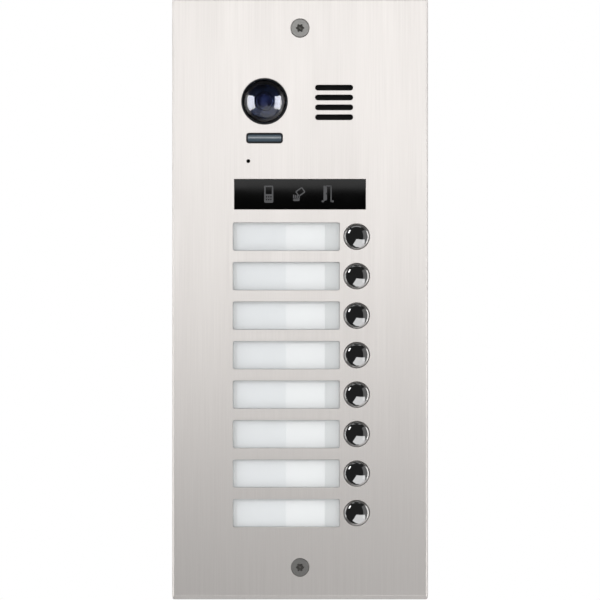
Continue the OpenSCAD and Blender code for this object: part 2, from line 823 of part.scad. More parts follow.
module keypad_board() {
    color("darkgreen") difference() {
        block(0, carrier_mid_z, chassis_w, carrier_h, keypad_y, keypad_y + board_t);
        for (p = keypad_screws)
            bar(p[0], p[1], SCREW_SHANK_R + GAP, keypad_y - OVER, keypad_y + board_t + OVER);
    }
}

module keypad_switches() {
    color("#303030") for (k = [1:row_count]) {
        block(button_x, row_z(k), SWITCH_W, SWITCH_W, keypad_y - switch_h, keypad_y);
        bar(button_x, row_z(k), actuator_r, actuator_y, keypad_y - switch_h);
    }
}

module main_board() {
    color("darkgreen") difference() {
        block(0, rows_mid_z, main_board_w, main_board_h, main_y, main_back_y);
        for (p = main_screws)
            bar(p[0], p[1], SCREW_SHANK_R + GAP, main_y - OVER, main_back_y + OVER);
    }
}

module board_screws() {
    color("silver") {
        for (p = keypad_screws) {
            bar(p[0], p[1], SCREW_SHANK_R, keypad_y - SCREW_GRIP, keypad_y + board_t);
            bar(p[0], p[1], SCREW_HEAD_R, keypad_y + board_t, keypad_y + board_t + SCREW_HEAD_H);
        }
        for (p = main_screws) {
            bar(p[0], p[1], SCREW_SHANK_R, main_y, main_back_y + SCREW_GRIP);
            bar(p[0], p[1], SCREW_HEAD_R, main_y - SCREW_HEAD_H, main_y);
        }
    }
}

function terminal_x(i) = (i - (terminal_count - 1) / 2) * terminal_pitch;

module terminal_block() {
    wire_way_w = 3;
    wire_way_h = 3.4;
    color("seagreen") difference() {
        block(0, terminal_z, terminal_w, terminal_h, main_back_y, terminal_back_y);
        for (i = [0:terminal_count - 1]) {
            bar(terminal_x(i), terminal_z + terminal_screw_z, terminal_screw_r + ROOM,
                terminal_back_y - terminal_depth, terminal_back_y + OVER);
            block(terminal_x(i), terminal_z - 3, wire_way_w, wire_way_h,
                terminal_back_y - 2 * terminal_depth, terminal_back_y + OVER);
        }
    }
}

module terminal_screws() {
    slot_t = 0.5;
    slot_depth = 0.6;
    screw_back_y = terminal_back_y - 1;
    color("silver") for (i = [0:terminal_count - 1]) difference() {
        bar(terminal_x(i), terminal_z + terminal_screw_z, terminal_screw_r,
            terminal_back_y - terminal_depth, screw_back_y);
        block(terminal_x(i), terminal_z + terminal_screw_z, 4, slot_t,
            screw_back_y - slot_depth, screw_back_y + OVER);
    }
}

function dip_slider_x(i) = dip_x + (i - 1.5) * dip_pitch;

module dip_housing() {
    color("firebrick") difference() {
        block(dip_x, tools_z, dip_w, dip_h, main_back_y, main_back_y + CASE_H);
        for (i = [1, 2]) block(dip_slider_x(i), tools_z, slider_w + 2 * ROOM,
            slider_h + dip_travel + 2 * ROOM, main_back_y + dip_floor,
            main_back_y + CASE_H + OVER);
    }
}

module dip_slider(i) {
    color("white") block(dip_slider_x(i), tools_z - dip_travel / 2, slider_w, slider_h,
        main_back_y + dip_floor + ROOM, main_back_y + CASE_H + 1);
}

module tamper_switch() {
    color("#303030") difference() {
        block(tamper_x, tools_z, tamper_w, tamper_w, main_back_y, tamper_back_y);
        bar(tamper_x, tools_z, plunger_r + FIT, main_back_y + tamper_floor, tamper_back_y + OVER);
    }
}

// The plunger stands out of the rear cover and is pushed in by the wall box
module tamper_plunger() {
    rest_gap = 0.3;
    tip = 0.5;
    color("ivory") bar(tamper_x, tools_z, plunger_r,
        main_back_y + tamper_floor + tamper_travel + rest_gap,
        cover_depth + tamper_travel + tip);
}

module trimmer_body() {
    color("royalblue") difference() {
        block(dial_x, tools_z, trimmer_w, trimmer_w, main_back_y, main_back_y + CASE_H);
        bar(dial_x, tools_z, spindle_r + FIT, main_back_y + trimmer_floor,
            main_back_y + CASE_H + OVER);
    }
}

module volume_dial() {
    dial_t = 3.2;
    slot_w = 1;
    slot_depth = 1.2;
    dial_y = main_back_y + CASE_H + ROOM;
    color("white") difference() {
        union() {
            bar(dial_x, tools_z, spindle_r, main_back_y + trimmer_floor + ROOM, dial_y);
            bar(dial_x, tools_z, dial_r, dial_y, dial_y + dial_t);
        }
        block(dial_x, tools_z, 2 * dial_r + OVER, slot_w,
            dial_y + dial_t - slot_depth, dial_y + dial_t + OVER);
    }
}

module rear_cover() {
    outer_r = 4;
    inner_r = 2.5;
    boss_r = 3.5;
    dial_room = 0.8;
    plunger_room = 0.5;
    color("#26282b") difference() {
        union() {
            rounded_block(0, 0, cover_w, cover_h, outer_r, back_y, cover_depth);
            for (p = ear_places) lug(p, cover_in_w / 2);
        }
        difference() {
            rounded_block(0, 0, cover_in_w, cover_h - 2 * cover_wall, inner_r,
                back_y - OVER, cover_y);
            for (p = main_screws) bar(p[0], p[1], boss_r, main_back_y, cover_y + OVER);
        }
        for (p = main_screws) bar(p[0], p[1], SCREW_SHANK_R + FIT, main_back_y - OVER, cover_y);
        block(0, terminal_z, terminal_w + 1, terminal_h + 1, cover_y - OVER, cover_depth + OVER);
        block(0, cable_z, cable_w, cable_h, cover_y - OVER, cover_depth + OVER);
        block(dip_x, tools_z, dip_w + 2, dip_h + 2, cover_y - OVER, cover_depth + OVER);
        bar(dial_x, tools_z, dial_r + dial_room, cover_y - OVER, cover_depth + OVER);
        bar(tamper_x, tools_z, plunger_r + plunger_room, cover_y - OVER, cover_depth + OVER);
    }
}

faceplate();
wall_gasket();
weld_studs();
stud_nuts();
fixing_screws();
screw_retainers();
camera_bezel();
camera_dome();
camera_housing();
camera_ball();
lens_barrel();
lens_glass();
camera_board();
light_window();
light_board();
light_lamps();
speaker_membrane();
speaker_frame();
speaker_cone();
speaker_magnet();
mic_boot();
mic_capsule();
upper_bracket();
status_window();
status_signs();
reader_board();
name_carrier();
name_cards();
name_windows();
button_guides();
keypad_board();
keypad_switches();
main_board();
board_screws();
terminal_block();
terminal_screws();
dip_housing();
dip_slider(1);  // dip_slider_1
dip_slider(2);  // dip_slider_2
tamper_switch();
tamper_plunger();
trimmer_body();
volume_dial();
rear_cover();
for (k = [1:row_count]) {
    call_button(k);
    button_spring(k);
}
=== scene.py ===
"""Looks for a flush-mounted video entry panel, built round its fixed frame.

The frame holds every part at its real place, in metres: +X to the visitor's right, +Z up
and +Y into the wall, with the origin on the wall plane midway between the fixing screws.
"""

import json
import logging
import math
from dataclasses import dataclass, field
from enum import Enum
from typing import Any, Callable, Sequence

import bpy
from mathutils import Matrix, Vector


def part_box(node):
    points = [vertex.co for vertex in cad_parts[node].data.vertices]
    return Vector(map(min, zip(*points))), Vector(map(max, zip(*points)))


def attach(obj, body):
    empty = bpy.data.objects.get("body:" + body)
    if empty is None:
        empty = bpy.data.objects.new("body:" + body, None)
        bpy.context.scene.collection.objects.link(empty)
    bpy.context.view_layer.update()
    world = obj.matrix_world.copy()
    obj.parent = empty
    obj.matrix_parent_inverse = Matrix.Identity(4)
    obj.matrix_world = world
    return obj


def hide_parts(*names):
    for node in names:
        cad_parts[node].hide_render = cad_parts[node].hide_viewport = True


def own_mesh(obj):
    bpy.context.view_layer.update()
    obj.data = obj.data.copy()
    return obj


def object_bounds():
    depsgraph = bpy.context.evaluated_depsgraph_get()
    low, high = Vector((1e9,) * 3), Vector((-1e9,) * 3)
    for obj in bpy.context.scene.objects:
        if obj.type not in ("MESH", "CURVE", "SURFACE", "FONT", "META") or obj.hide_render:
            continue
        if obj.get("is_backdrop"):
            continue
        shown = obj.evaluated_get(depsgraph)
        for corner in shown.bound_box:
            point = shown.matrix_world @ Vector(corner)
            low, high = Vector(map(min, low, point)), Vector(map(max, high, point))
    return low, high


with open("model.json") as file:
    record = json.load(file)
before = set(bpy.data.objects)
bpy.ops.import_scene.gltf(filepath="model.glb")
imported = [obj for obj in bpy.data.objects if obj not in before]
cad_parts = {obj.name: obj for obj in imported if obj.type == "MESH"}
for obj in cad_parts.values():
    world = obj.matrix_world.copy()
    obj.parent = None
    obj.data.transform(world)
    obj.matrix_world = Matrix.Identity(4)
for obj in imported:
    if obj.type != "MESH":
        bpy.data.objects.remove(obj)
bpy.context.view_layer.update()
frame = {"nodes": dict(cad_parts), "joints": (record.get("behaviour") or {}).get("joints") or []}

log = logging.getLogger("entry_panel")
MM = 0.001
Profile = Sequence[tuple[float, float]]
Place = tuple[float, float, float]


# ---------------------------------------------------------------- colours and shader nodes


def linear(code: str) -> tuple[float, float, float, float]:
    """Turns an sRGB hex colour into the linear colour that shaders take.

    Args:
        code: Six hex digits with a leading hash.

    Returns:
        Linear red, green and blue, and an alpha of 1.
    """
    values = [int(code[i:i + 2], 16) / 255 for i in (1, 3, 5)]
    red, green, blue = [v / 12.92 if v <= 0.04045 else ((v + 0.055) / 1.055) ** 2.4 for v in values]
    return red, green, blue, 1.0


def add_node(tree: Any, kind: str, inputs: dict | None = None, **settings: Any) -> Any:
    """Adds a shader node, sets its properties, and fills or links its sockets.

    Args:
        tree: The material's or world's node tree.
        kind: The node's type without the ShaderNode prefix.
        inputs: Socket name or index to a value, or to an output socket to link.
        settings: Properties of the node itself.

    Returns:
        The new node.
    """
    node = tree.nodes.new("ShaderNode" + kind)
    for name, value in settings.items():
        setattr(node, name, value)
    for name, value in (inputs or {}).items():
        if isinstance(value, bpy.types.NodeSocket):
            tree.links.new(value, node.inputs[name])
        else:
            node.inputs[name].default_value = value
    return node


# ---------------------------------------------------------------- finishes


@dataclass(frozen=True)
class Finish:
    """One surface finish: a base colour that drifts to a second one, with a fine relief.

    Attributes:
        name: What the material is and how it was made.
        colour: Main colour.
        shade: Colour that the grain drifts to.
        roughness: Mean roughness.
        swing: How far the roughness moves either way with the grain.
        metallic: 1 for metals.
        ior: Index of refraction.
        coat: Weight of a clear coat.
        transmission: Share of light that passes through.
        alpha: Cover of a thin clear part.
        grain: Size of the grain along X, Y and Z, in millimetres.
        relief: Depth of the grain, in millimetres.
    """

    name: str
    colour: str
    shade: str
    roughness: float
    swing: float = 0.05
    metallic: float = 0.0
    ior: float = 1.5
    coat: float = 0.0
    transmission: float = 0.0
    alpha: float = 1.0
    grain: Place = (0.8, 0.8, 0.8)
    relief: float = 0.02

    def height(self, tree: Any) -> Any:
        """Returns the output socket, 0 to 1, of the pattern that drives colour and relief."""
        return self.noise(tree, self.grain, 3.0)

    def noise(self, tree: Any, grain: Place, detail: float) -> Any:
        """Returns a noise pattern whose spots have the given size in millimetres.

        Args:
            tree: The material's node tree.
            grain: Size of the spots along X, Y and Z.
            detail: Layers of finer noise on top.

        Returns:
            The output socket of the pattern, 0 to 1.
        """
        coords = add_node(tree, "TexCoord")
        scale = tuple(1 / (size * MM) for size in grain)
        mapped = add_node(tree, "Mapping", {"Vector": coords.outputs["Object"], "Scale": scale})
        spots = add_node(tree, "TexNoise",
                         {"Vector": mapped.outputs["Vector"], "Scale": 1.0, "Detail": detail})
        return spots.outputs["Fac"]

    def tint(self, tree: Any, pattern: Any) -> Any:
        """Returns the colour socket: the main colour drifting to the shade with the pattern.

        Args:
            tree: The material's node tree.
            pattern: The pattern that mixes the colours.

        Returns:
            The output socket of the colour.
        """
        mix = add_node(tree, "Mix", {"Factor": pattern}, data_type="RGBA")
        mix.inputs[6].default_value = linear(self.colour)
        mix.inputs[7].default_value = linear(self.shade)
        return mix.outputs[2]

    def material(self) -> bpy.types.Material:
        """Builds the material once and returns it.

        Returns:
            The material.
        """
        known = bpy.data.materials.get(self.name)
        if known:
            return known
        made = bpy.data.materials.new(self.name)
        made.use_nodes = True
        tree = made.node_tree
        shader = tree.nodes["Principled BSDF"]
        pattern = self.height(tree)
        tree.links.new(self.tint(tree, pattern), shader.inputs["Base Color"])
        rough = add_node(tree, "MapRange", {"Value": pattern, "To Min": self.roughness - self.swing,
                                            "To Max": self.roughness + self.swing})
        tree.links.new(rough.outputs["Result"], shader.inputs["Roughness"])
        bump = add_node(tree, "Bump", {"Height": pattern, "Strength": 1.0,
                                       "Distance": self.relief * MM})
        tree.links.new(bump.outputs["Normal"], shader.inputs["Normal"])
        shader.inputs["Metallic"].default_value = self.metallic
        shader.inputs["IOR"].default_value = self.ior
        shader.inputs["Coat Weight"].default_value = self.coat
        shader.inputs["Transmission Weight"].default_value = self.transmission
        shader.inputs["Alpha"].default_value = self.alpha
        return made


@dataclass(frozen=True)
class Brushed(Finish):
    """Sheet steel brushed along Z: long fine scratches over a slow drift of tone."""

    drift: Place = (9.0, 9.0, 160.0)

    def height(self, tree: Any) -> Any:
        """Returns the fine scratches with a third of the slow drift mixed in.

        Args:
            tree: The material's node tree.

        Returns:
            The output socket of the pattern, 0 to 1.
        """
        fine = self.noise(tree, self.grain, 5.0)
        slow = self.noise(tree, self.drift, 2.0)
        mix = add_node(tree, "Mix", {"Factor": 0.3}, data_type="FLOAT")
        tree.links.new(fine, mix.inputs[2])
        tree.links.new(slow, mix.inputs[3])
        return mix.outputs[0]


@dataclass(frozen=True)
class Woven(Finish):
    """Cloth woven from threads that run along X and Z."""

    thread: float = 0.5

    def height(self, tree: Any) -> Any:
        """Returns crossed thread bands, one wave per thread each way.

        Args:
            tree: The material's node tree.

        Returns:
            The output socket of the pattern, 0 to 1.
        """
        coords = add_node(tree, "TexCoord")
        bands = []
        for axis in ("X", "Z"):
            wave = add_node(tree, "TexWave", {"Vector": coords.outputs["Object"],
                            "Scale": 0.314 / (self.thread * MM), "Distortion": 0.3},
                            bands_direction=axis)
            bands.append(wave.outputs["Fac"])
        weave = add_node(tree, "Math", {0: bands[0], 1: bands[1]}, operation="MULTIPLY")
        return weave.outputs[0]


@dataclass(frozen=True)
class PaintedLightSplit(Finish):
    """Two pale fields that meet at one place along X: painted light, with the right field painted
    paler where brighter light falls on the film.
    """

    edge_x: float = 0.0

    def tint(self, tree: Any, pattern: Any) -> Any:
        """Returns the main colour left of the edge and the shade right of it.

        Args:
            tree: The material's node tree.
            pattern: Not used: the edge parts the colours.

        Returns:
            The output socket of the colour.
        """
        coords = add_node(tree, "TexCoord")
        split = add_node(tree, "SeparateXYZ", {"Vector": coords.outputs["Object"]})
        right = add_node(tree, "Math", {0: split.outputs["X"], 1: self.edge_x},
                         operation="GREATER_THAN")
        mix = add_node(tree, "Mix", {"Factor": right.outputs[0]}, data_type="RGBA")
        mix.inputs[6].default_value = linear(self.colour)
        mix.inputs[7].default_value = linear(self.shade)
        return mix.outputs[2]


# Cold-rolled stainless sheet, brushed along its height with an abrasive belt: fine vertical
# streaks and a long soft gleam. Real scratches are finer than 0.1 mm, and are drawn 0.5 mm wide
# so that they show
PLATE = Brushed("brushed_stainless_sheet", "#d6d2cf", "#c3bfbc", 0.36, 0.05, 1.0,
                grain=(0.5, 0.5, 45.0), relief=0.004)
# Stainless bar turned to a countersunk screw and tumbled: greyer and duller than the sheet
SCREW = Finish("turned_stainless_screw", "#8a8987", "#747371", 0.36, 0.06, 1.0, relief=0.004)
# Steel with an electroplated zinc coat, on studs, nuts, washers and board screws: a pale, faintly
# blue metal with a soft gleam
ZINC = Finish("zinc_plated_steel", "#b9bcc0", "#989ca2", 0.38, 0.08, 1.0, relief=0.006)
# Brass cap, polished and chrome plated: a near mirror that shows the room
CHROME = Finish("polished_chrome", "#dcdcdc", "#d2d2d3", 0.045, 0.012, 1.0, grain=(5, 5, 5),
                relief=0.0004)
# Stainless spring wire drawn through a die: bright grey with a soft sheen along each turn
WIRE = Finish("drawn_spring_wire", "#a7a6a2", "#8c8b88", 0.3, 0.08, 1.0, relief=0.005)
# Closed-cell neoprene foam, die cut from a sheet: flat black with fine pores and no gloss
FOAM = Finish("neoprene_foam", "#26272a", "#17181a", 0.9, 0.08, grain=(0.7, 0.7, 0.7), relief=0.15)
# Rubber pressed in a smooth mould: deep black with hardly a gleam
RUBBER = Finish("moulded_rubber", "#161617", "#0e0e0f", 0.7, 0.08, relief=0.02)
# ABS of the rear cover, injection moulded against a spark-eroded wall: charcoal with a fine, dry
# texture
COVER = Finish("textured_black_abs", "#232528", "#1a1b1e", 0.56, 0.1, grain=(0.5, 0.5, 0.5),
               relief=0.05)
# ABS of the bracket, injection moulded in a plain mould: mid grey with a dull sheen
BRACKET = Finish("moulded_grey_abs", "#3c3f43", "#33363a", 0.5, 0.08, relief=0.02)
# ABS of the camera's rim, moulded in a finely polished mould: black with a soft highlight
BEZEL = Finish("satin_black_abs", "#0d1017", "#080a0f", 0.28, 0.05, relief=0.004)
# Nylon of the camera's ball, moulded matte. The colour is paler than the bare nylon, to make up
# for the light that the smoke-tinted dome in front of it takes away
BALL = Finish("matte_black_nylon", "#3c475b", "#323c4e", 0.42, 0.06, relief=0.008)
# Aluminium barrel, turned and anodised: a dark metal with a cool, tight gleam round its rim, paler
# than it is in the hand for the same reason as the ball
BARREL = Finish("black_anodised_aluminium", "#5a6480", "#485169", 0.3, 0.05, 0.6, relief=0.004)
# Polycarbonate dome, injection moulded in a polished mould and smoke tinted: clear, glossy and
# cool in cast
DOME = Finish("tinted_polycarbonate", "#b4bad0", "#b4bad0", 0.03, 0.01, ior=1.58,
              transmission=1.0, grain=(20, 20, 20), relief=0.0)
# Ground glass with a vapour-laid anti-reflex coat: a sharp highlight. Its pale blue-violet colour
# is painted reflection: it stands in for the violet gleam of the coat, and is made pale to brighten
# the lens seen through the smoke-tinted dome
LENS = Finish("coated_lens_glass", "#6a7aa0", "#6c6a9c", 0.04, 0.01, coat=1.0, ior=1.6,
              grain=(6, 6, 6), relief=0.0)
# Acrylic light window, moulded smoke grey over a frosted back: blue-grey, with a glossy face and
# no clear view of the lamps
LIGHT = Finish("frosted_acrylic", "#414e57", "#36424c", 0.24, 0.04, coat=0.5, grain=(3, 3, 3),
               relief=0.01)
# Black ring round the light window, painted shade: a dull dark line that stands in for the shade in
# the gap round the bar
GAP_SHADE = Finish("black_gap_shade", "#1b1d22", "#121317", 0.5, 0.06, relief=0.01)
# Phosphor-filled resin poured over each lamp: egg-yolk yellow and slightly glossy
LAMP = Finish("yellow_phosphor_resin", "#e6d76a", "#d8c552", 0.35, 0.05, relief=0.01)
# Polyester cloth woven from 0.5 mm threads: dull black with a fine crossed pattern
CLOTH = Woven("speaker_cloth", "#0c0c0d", "#040404", 0.85, 0.05, relief=0.1)
# Loudspeaker basket, stamped from plated steel: grey metal with a worn sheen
SPEAKER = Finish("stamped_speaker_steel", "#6c6d70", "#5a5b5e", 0.45, 0.06, 0.8, relief=0.01)
# Cone pressed from dyed paper pulp: soft black with a felted face
CONE = Finish("pressed_paper_cone", "#1d1c1b", "#141312", 0.85, 0.06, relief=0.06)
# Ferrite powder pressed and sintered: dark grey, dry and slightly grainy, like slate
MAGNET = Finish("sintered_ferrite", "#3d3d3f", "#2c2c2e", 0.6, 0.1, relief=0.05)
# Cast acrylic with a polished face: black with a mirror gloss
STATUS = Finish("black_gloss_acrylic", "#040404", "#020202", 0.06, 0.02, ior=1.38,
                grain=(12, 12, 12), relief=0.0)
# Ink screen printed on the status window: dull grey, with a slightly uneven edge of tone
SIGN = Finish("grey_screen_print", "#515153", "#444446", 0.55, 0.06, grain=(0.6, 0.6, 0.6),
              relief=0.01)
# Polycarbonate filled with diffuser powder and injection moulded: milky white and matte
CARRIER = Finish("white_diffuser_polycarbonate", "#dadbdb", "#d2d3d3", 0.5, 0.06, relief=0.01)
# Polyester name film in two matte whites, the left one a touch greyer: painted light, the right
# part painted paler for the brighter light that falls on it
CARD = PaintedLightSplit("name_film_painted_light", "#e8eaec", "#f9fafa", 0.55, 0.04, relief=0.004,
               edge_x=-0.0077)
# Injection-moulded polycarbonate with a satin face: a quarter of its light comes from its own
# milky surface, so that the card behind looks soft and the window's edge stays pale
WINDOW = Finish("satin_polycarbonate", "#f6f8f9", "#f1f4f5", 0.24, 0.05, ior=1.5, alpha=0.27,
                grain=(1.5, 1.5, 1.5), relief=0.002)
# Acetal guide bushes, injection moulded: slippery-looking mid grey
GUIDE = Finish("grey_acetal", "#46484b", "#3a3c3f", 0.45, 0.05, relief=0.01)
# Glass-fibre board under a cured solder mask: deep green lacquer with a faint weave
BOARD = Finish("green_solder_mask", "#0f5a2e", "#0a4422", 0.35, 0.08, coat=0.3,
               grain=(2.5, 2.5, 0.4), relief=0.02)
# Nylon of switches and small housings, injection moulded: plain black with a dull sheen
BLACK = Finish("moulded_black_nylon", "#1b1b1c", "#121213", 0.5, 0.06, relief=0.02)
# Polyamide of the terminal block, injection moulded: the usual bright green, half matte
TERMINAL = Finish("green_polyamide", "#1f8a57", "#187348", 0.45, 0.06, relief=0.02)
# Polyester of the option switch, injection moulded: strong red with a slight gloss
DIP_RED = Finish("red_polyester", "#b3262a", "#9a1f23", 0.4, 0.05, relief=0.01)
# Acetal of sliders, plunger and dial, injection moulded: warm off-white with a slight gloss
IVORY = Finish("ivory_acetal", "#cfccc1", "#c2bfb3", 0.4, 0.05, relief=0.01)
# Polyester of the trimmer, injection moulded: strong blue with a slight gloss
BLUE = Finish("blue_polyester", "#2154a6", "#1b458a", 0.4, 0.05, relief=0.01)
# Wool felt, needled and dyed, that keeps dust out of the microphone: black and quite without gloss
FELT = Finish("black_dust_felt", "#17171a", "#0e0e10", 0.9, 0.06, grain=(0.4, 0.4, 0.4),
              relief=0.05)
# Cut steel at the bottom of a screw's recess, painted a dull brownish grey: painted shade where the
# recess lies in shadow
RECESS_SHADE = Finish("painted_shade_steel_recess", "#62605d", "#4a4946", 0.6, 0.1, 0.6, relief=0.01)
# Board painted matte white, under the panel: plain and pale, with only soft shadows
WHITE_BOARD = Finish("white_board", "#f4f4f4", "#f0f0f0", 0.7, relief=0.0)


# ---------------------------------------------------------------- the bench: how pieces are made


def deselect() -> None:
    """Leaves nothing selected."""
    if bpy.context.object and bpy.context.object.mode != "OBJECT":
        bpy.ops.object.mode_set(mode="OBJECT")
    bpy.ops.object.select_all(action="DESELECT")


def only(piece: bpy.types.Object) -> bpy.types.Object:
    """Makes a piece the one selected and active object, and returns it.

    Args:
        piece: The piece to select.

    Returns:
        The piece.
    """
    deselect()
    piece.select_set(True)
    bpy.context.view_layer.objects.active = piece
    return piece


def named(name: str) -> bpy.types.Object:
    """Names the primitive that was just added, bakes its place into its mesh and returns it.

    Args:
        name: Name of the piece.

    Returns:
        The piece.
    """
    piece = bpy.context.object
    piece.name = piece.data.name = name
    bpy.ops.object.transform_apply(location=True, rotation=True, scale=True)
    return piece


def block(name: str, low: Sequence[float], high: Sequence[float]) -> bpy.types.Object:
    """Adds a cube that reaches from one corner to the other.

    Args:
        name: Name of the piece.
        low: Lowest corner.
        high: Highest corner.

    Returns:
        The block, with its place in its mesh.
    """
    deselect()
    low_v, high_v = Vector(low), Vector(high)
    bpy.ops.mesh.primitive_cube_add(size=1, location=(low_v + high_v) / 2, scale=high_v - low_v)
    return named(name)


def drum(name: str, x: float, z: float, radius: float, y0: float, y1: float,
         sides: int = 48) -> bpy.types.Object:
    """Adds a cylinder along Y from y0 to y1 and returns it.

    Args:
        name: Name of the piece.
        x: Place of its axis.
        z: Place of its axis.
        radius: Its radius.
        y0: Its front end.
        y1: Its back end.
        sides: Number of sides.

    Returns:
        The cylinder, with its place in its mesh.
    """
    deselect()
    bpy.ops.mesh.primitive_cylinder_add(vertices=sides, radius=radius, depth=y1 - y0,
                                        location=(x, (y0 + y1) / 2, z),
                                        rotation=(math.pi / 2, 0, 0))
    return named(name)


def pick(piece: bpy.types.Object, kind: str, test: Callable[[Any], bool]) -> None:
    """Selects the faces, edges or vertices that pass a test and enters edit mode.

    Args:
        piece: The piece to work on.
        kind: FACE, EDGE or VERT.
        test: Takes a mesh element and says whether it is wanted.
    """
    only(piece)
    mesh = piece.data
    for group in (mesh.polygons, mesh.edges, mesh.vertices):
        group.foreach_set("select", [False] * len(group))
    wanted = {"FACE": mesh.polygons, "EDGE": mesh.edges, "VERT": mesh.vertices}[kind]
    for part in wanted:
        part.select = test(part)
    bpy.ops.object.mode_set(mode="EDIT")
    bpy.ops.mesh.select_mode(type=kind)


def done(piece: bpy.types.Object) -> bpy.types.Object:
    """Leaves edit mode and returns the piece."""
    bpy.ops.object.mode_set(mode="OBJECT")
    return piece


def modify(piece: bpy.types.Object, kind: str, **settings: Any) -> bpy.types.Object:
    """Adds a modifier with its settings, applies it and returns the piece.

    Args:
        piece: The piece.
        kind: The modifier's type.
        settings: Its properties.

    Returns:
        The piece.
    """
    only(piece)
    modifier = piece.modifiers.new(kind.lower(), kind)
    for name, value in settings.items():
        setattr(modifier, name, value)
    bpy.ops.object.modifier_apply(modifier=modifier.name)
    return piece


def smooth(piece: bpy.types.Object, degrees: float = 32) -> bpy.types.Object:
    """Shades a piece smooth across edges flatter than the angle, and returns it.

    Args:
        piece: The piece.
        degrees: Angle from which an edge stays sharp.

    Returns:
        The piece.
    """
    only(piece)
    bpy.ops.object.shade_smooth_by_angle(angle=math.radians(degrees))
    return piece


def eased(piece: bpy.types.Object, width: float, segments: int = 2,
          degrees: float = 40) -> bpy.types.Object:
    """Rounds the sharp edges of a piece, as a mould or a deburring tool leaves them.

    Args:
        piece: The piece.
        width: Width of the rounding.
        segments: Steps of the rounding.
        degrees: Edges flatter than this stay as they are.

    Returns:
        The piece.
    """
    modify(piece, "BEVEL", width=width, segments=segments, limit_method="ANGLE",
           angle_limit=math.radians(degrees), use_clamp_overlap=False)
    smooth(piece)
    return modify(piece, "WEIGHTED_NORMAL", weight=100, keep_sharp=True)


def round_corners(piece: bpy.types.Object, radius: float, segments: int,
                  shortest: float) -> bpy.types.Object:
    """Rounds the corners that a block shows from the front: its edges along Y.

    Args:
        piece: The block.
        radius: Radius of the corners.
        segments: Steps of each corner.
        shortest: Edges that reach less far than this along Y are left alone.

    Returns:
        The block.
    """

    def runs_deep(edge: bpy.types.MeshEdge) -> bool:
        """Says whether an edge reaches far enough along Y."""
        start, end = [piece.data.vertices[index].co for index in edge.vertices]
        return abs((start - end).y) > shortest

    pick(piece, "EDGE", runs_deep)
    bpy.ops.mesh.bevel(offset=radius, segments=segments, affect="EDGES")
    return done(piece)


def cut(piece: bpy.types.Object, cutter: bpy.types.Object) -> bpy.types.Object:
    """Cuts one piece out of another, removes the cutter and returns what is left.

    Args:
        piece: The piece that is cut.
        cutter: The piece that cuts.

    Returns:
        What is left.
    """
    modify(piece, "BOOLEAN", operation="DIFFERENCE", object=cutter, solver="EXACT")
    bpy.data.objects.remove(cutter)
    return piece


def joined(name: str, pieces: Sequence[bpy.types.Object]) -> bpy.types.Object:
    """Joins several pieces into the first one, names it and returns it.

    Args:
        name: Name of the joined piece.
        pieces: The pieces.

    Returns:
        The joined piece.
    """
    only(pieces[0])
    for piece in pieces:
        piece.select_set(True)
    bpy.ops.object.join()
    pieces[0].name = pieces[0].data.name = name
    return pieces[0]


def shifted(piece: bpy.types.Object, name: str, by: Sequence[float]) -> bpy.types.Object:
    """Copies a piece with its own mesh, moved by an offset, and returns the copy.

    Args:
        piece: The piece to copy.
        name: Name of the copy.
        by: The offset.

    Returns:
        The copy.
    """
    twin = piece.copy()
    twin.data = piece.data.copy()
    twin.name = twin.data.name = name
    bpy.context.scene.collection.objects.link(twin)
    only(twin)
    twin.location = Vector(by)
    bpy.ops.object.transform_apply(location=True, rotation=False, scale=False)
    return twin


def turned(name: str, x: float, z: float, profile: Profile, steps: int = 72,
           pole: bool = False) -> bpy.types.Object:
    """Turns a piece on an axis along Y, ring by ring, from a profile.

    Args:
        name: Name of the piece.
        x: Place of the axis.
        z: Place of the axis.
        profile: Radius and y of each ring, from the first end to the last.
        steps: Number of sides.
        pole: Whether the last ring closes to a point.

    Returns:
        The closed piece.
    """
    deselect()
    radius, y = profile[0]
    bpy.ops.mesh.primitive_circle_add(vertices=steps, radius=radius, fill_type="NGON",
                                      location=(x, y, z), rotation=(math.pi / 2, 0, 0))
    piece = named(name)
    bpy.ops.object.mode_set(mode="EDIT")
    bpy.ops.mesh.select_all(action="SELECT")
    for new_radius, new_y in profile[1:]:
        bpy.ops.mesh.extrude_region_move(TRANSFORM_OT_translate={"value": (0, new_y - y, 0)})
        grow = new_radius / radius
        bpy.ops.transform.resize(value=(grow, 1, grow), center_override=(x, new_y, z))
        radius, y = new_radius, new_y
    if pole:
        bpy.ops.mesh.merge(type="CENTER")
    bpy.ops.mesh.select_all(action="SELECT")
    bpy.ops.mesh.normals_make_consistent(inside=False)
    return done(piece)


def arc(centre_y: float, radius: float, r0: float, r1: float,
        steps: int) -> list[tuple[float, float]]:
    """Rings of a ball that is centred on the axis, on its front side.

    Args:
        centre_y: Place of the ball's centre along the axis.
        radius: Radius of the ball.
        r0: Ring radius to start from.
        r1: Ring radius to end at.
        steps: Number of rings.

    Returns:
        Radius and y of each ring.
    """
    a0, a1 = math.asin(r0 / radius), math.asin(r1 / radius)
    angles = [a0 + (a1 - a0) * i / (steps - 1) for i in range(steps)]
    return [(radius * math.sin(a), centre_y - radius * math.cos(a)) for a in angles]


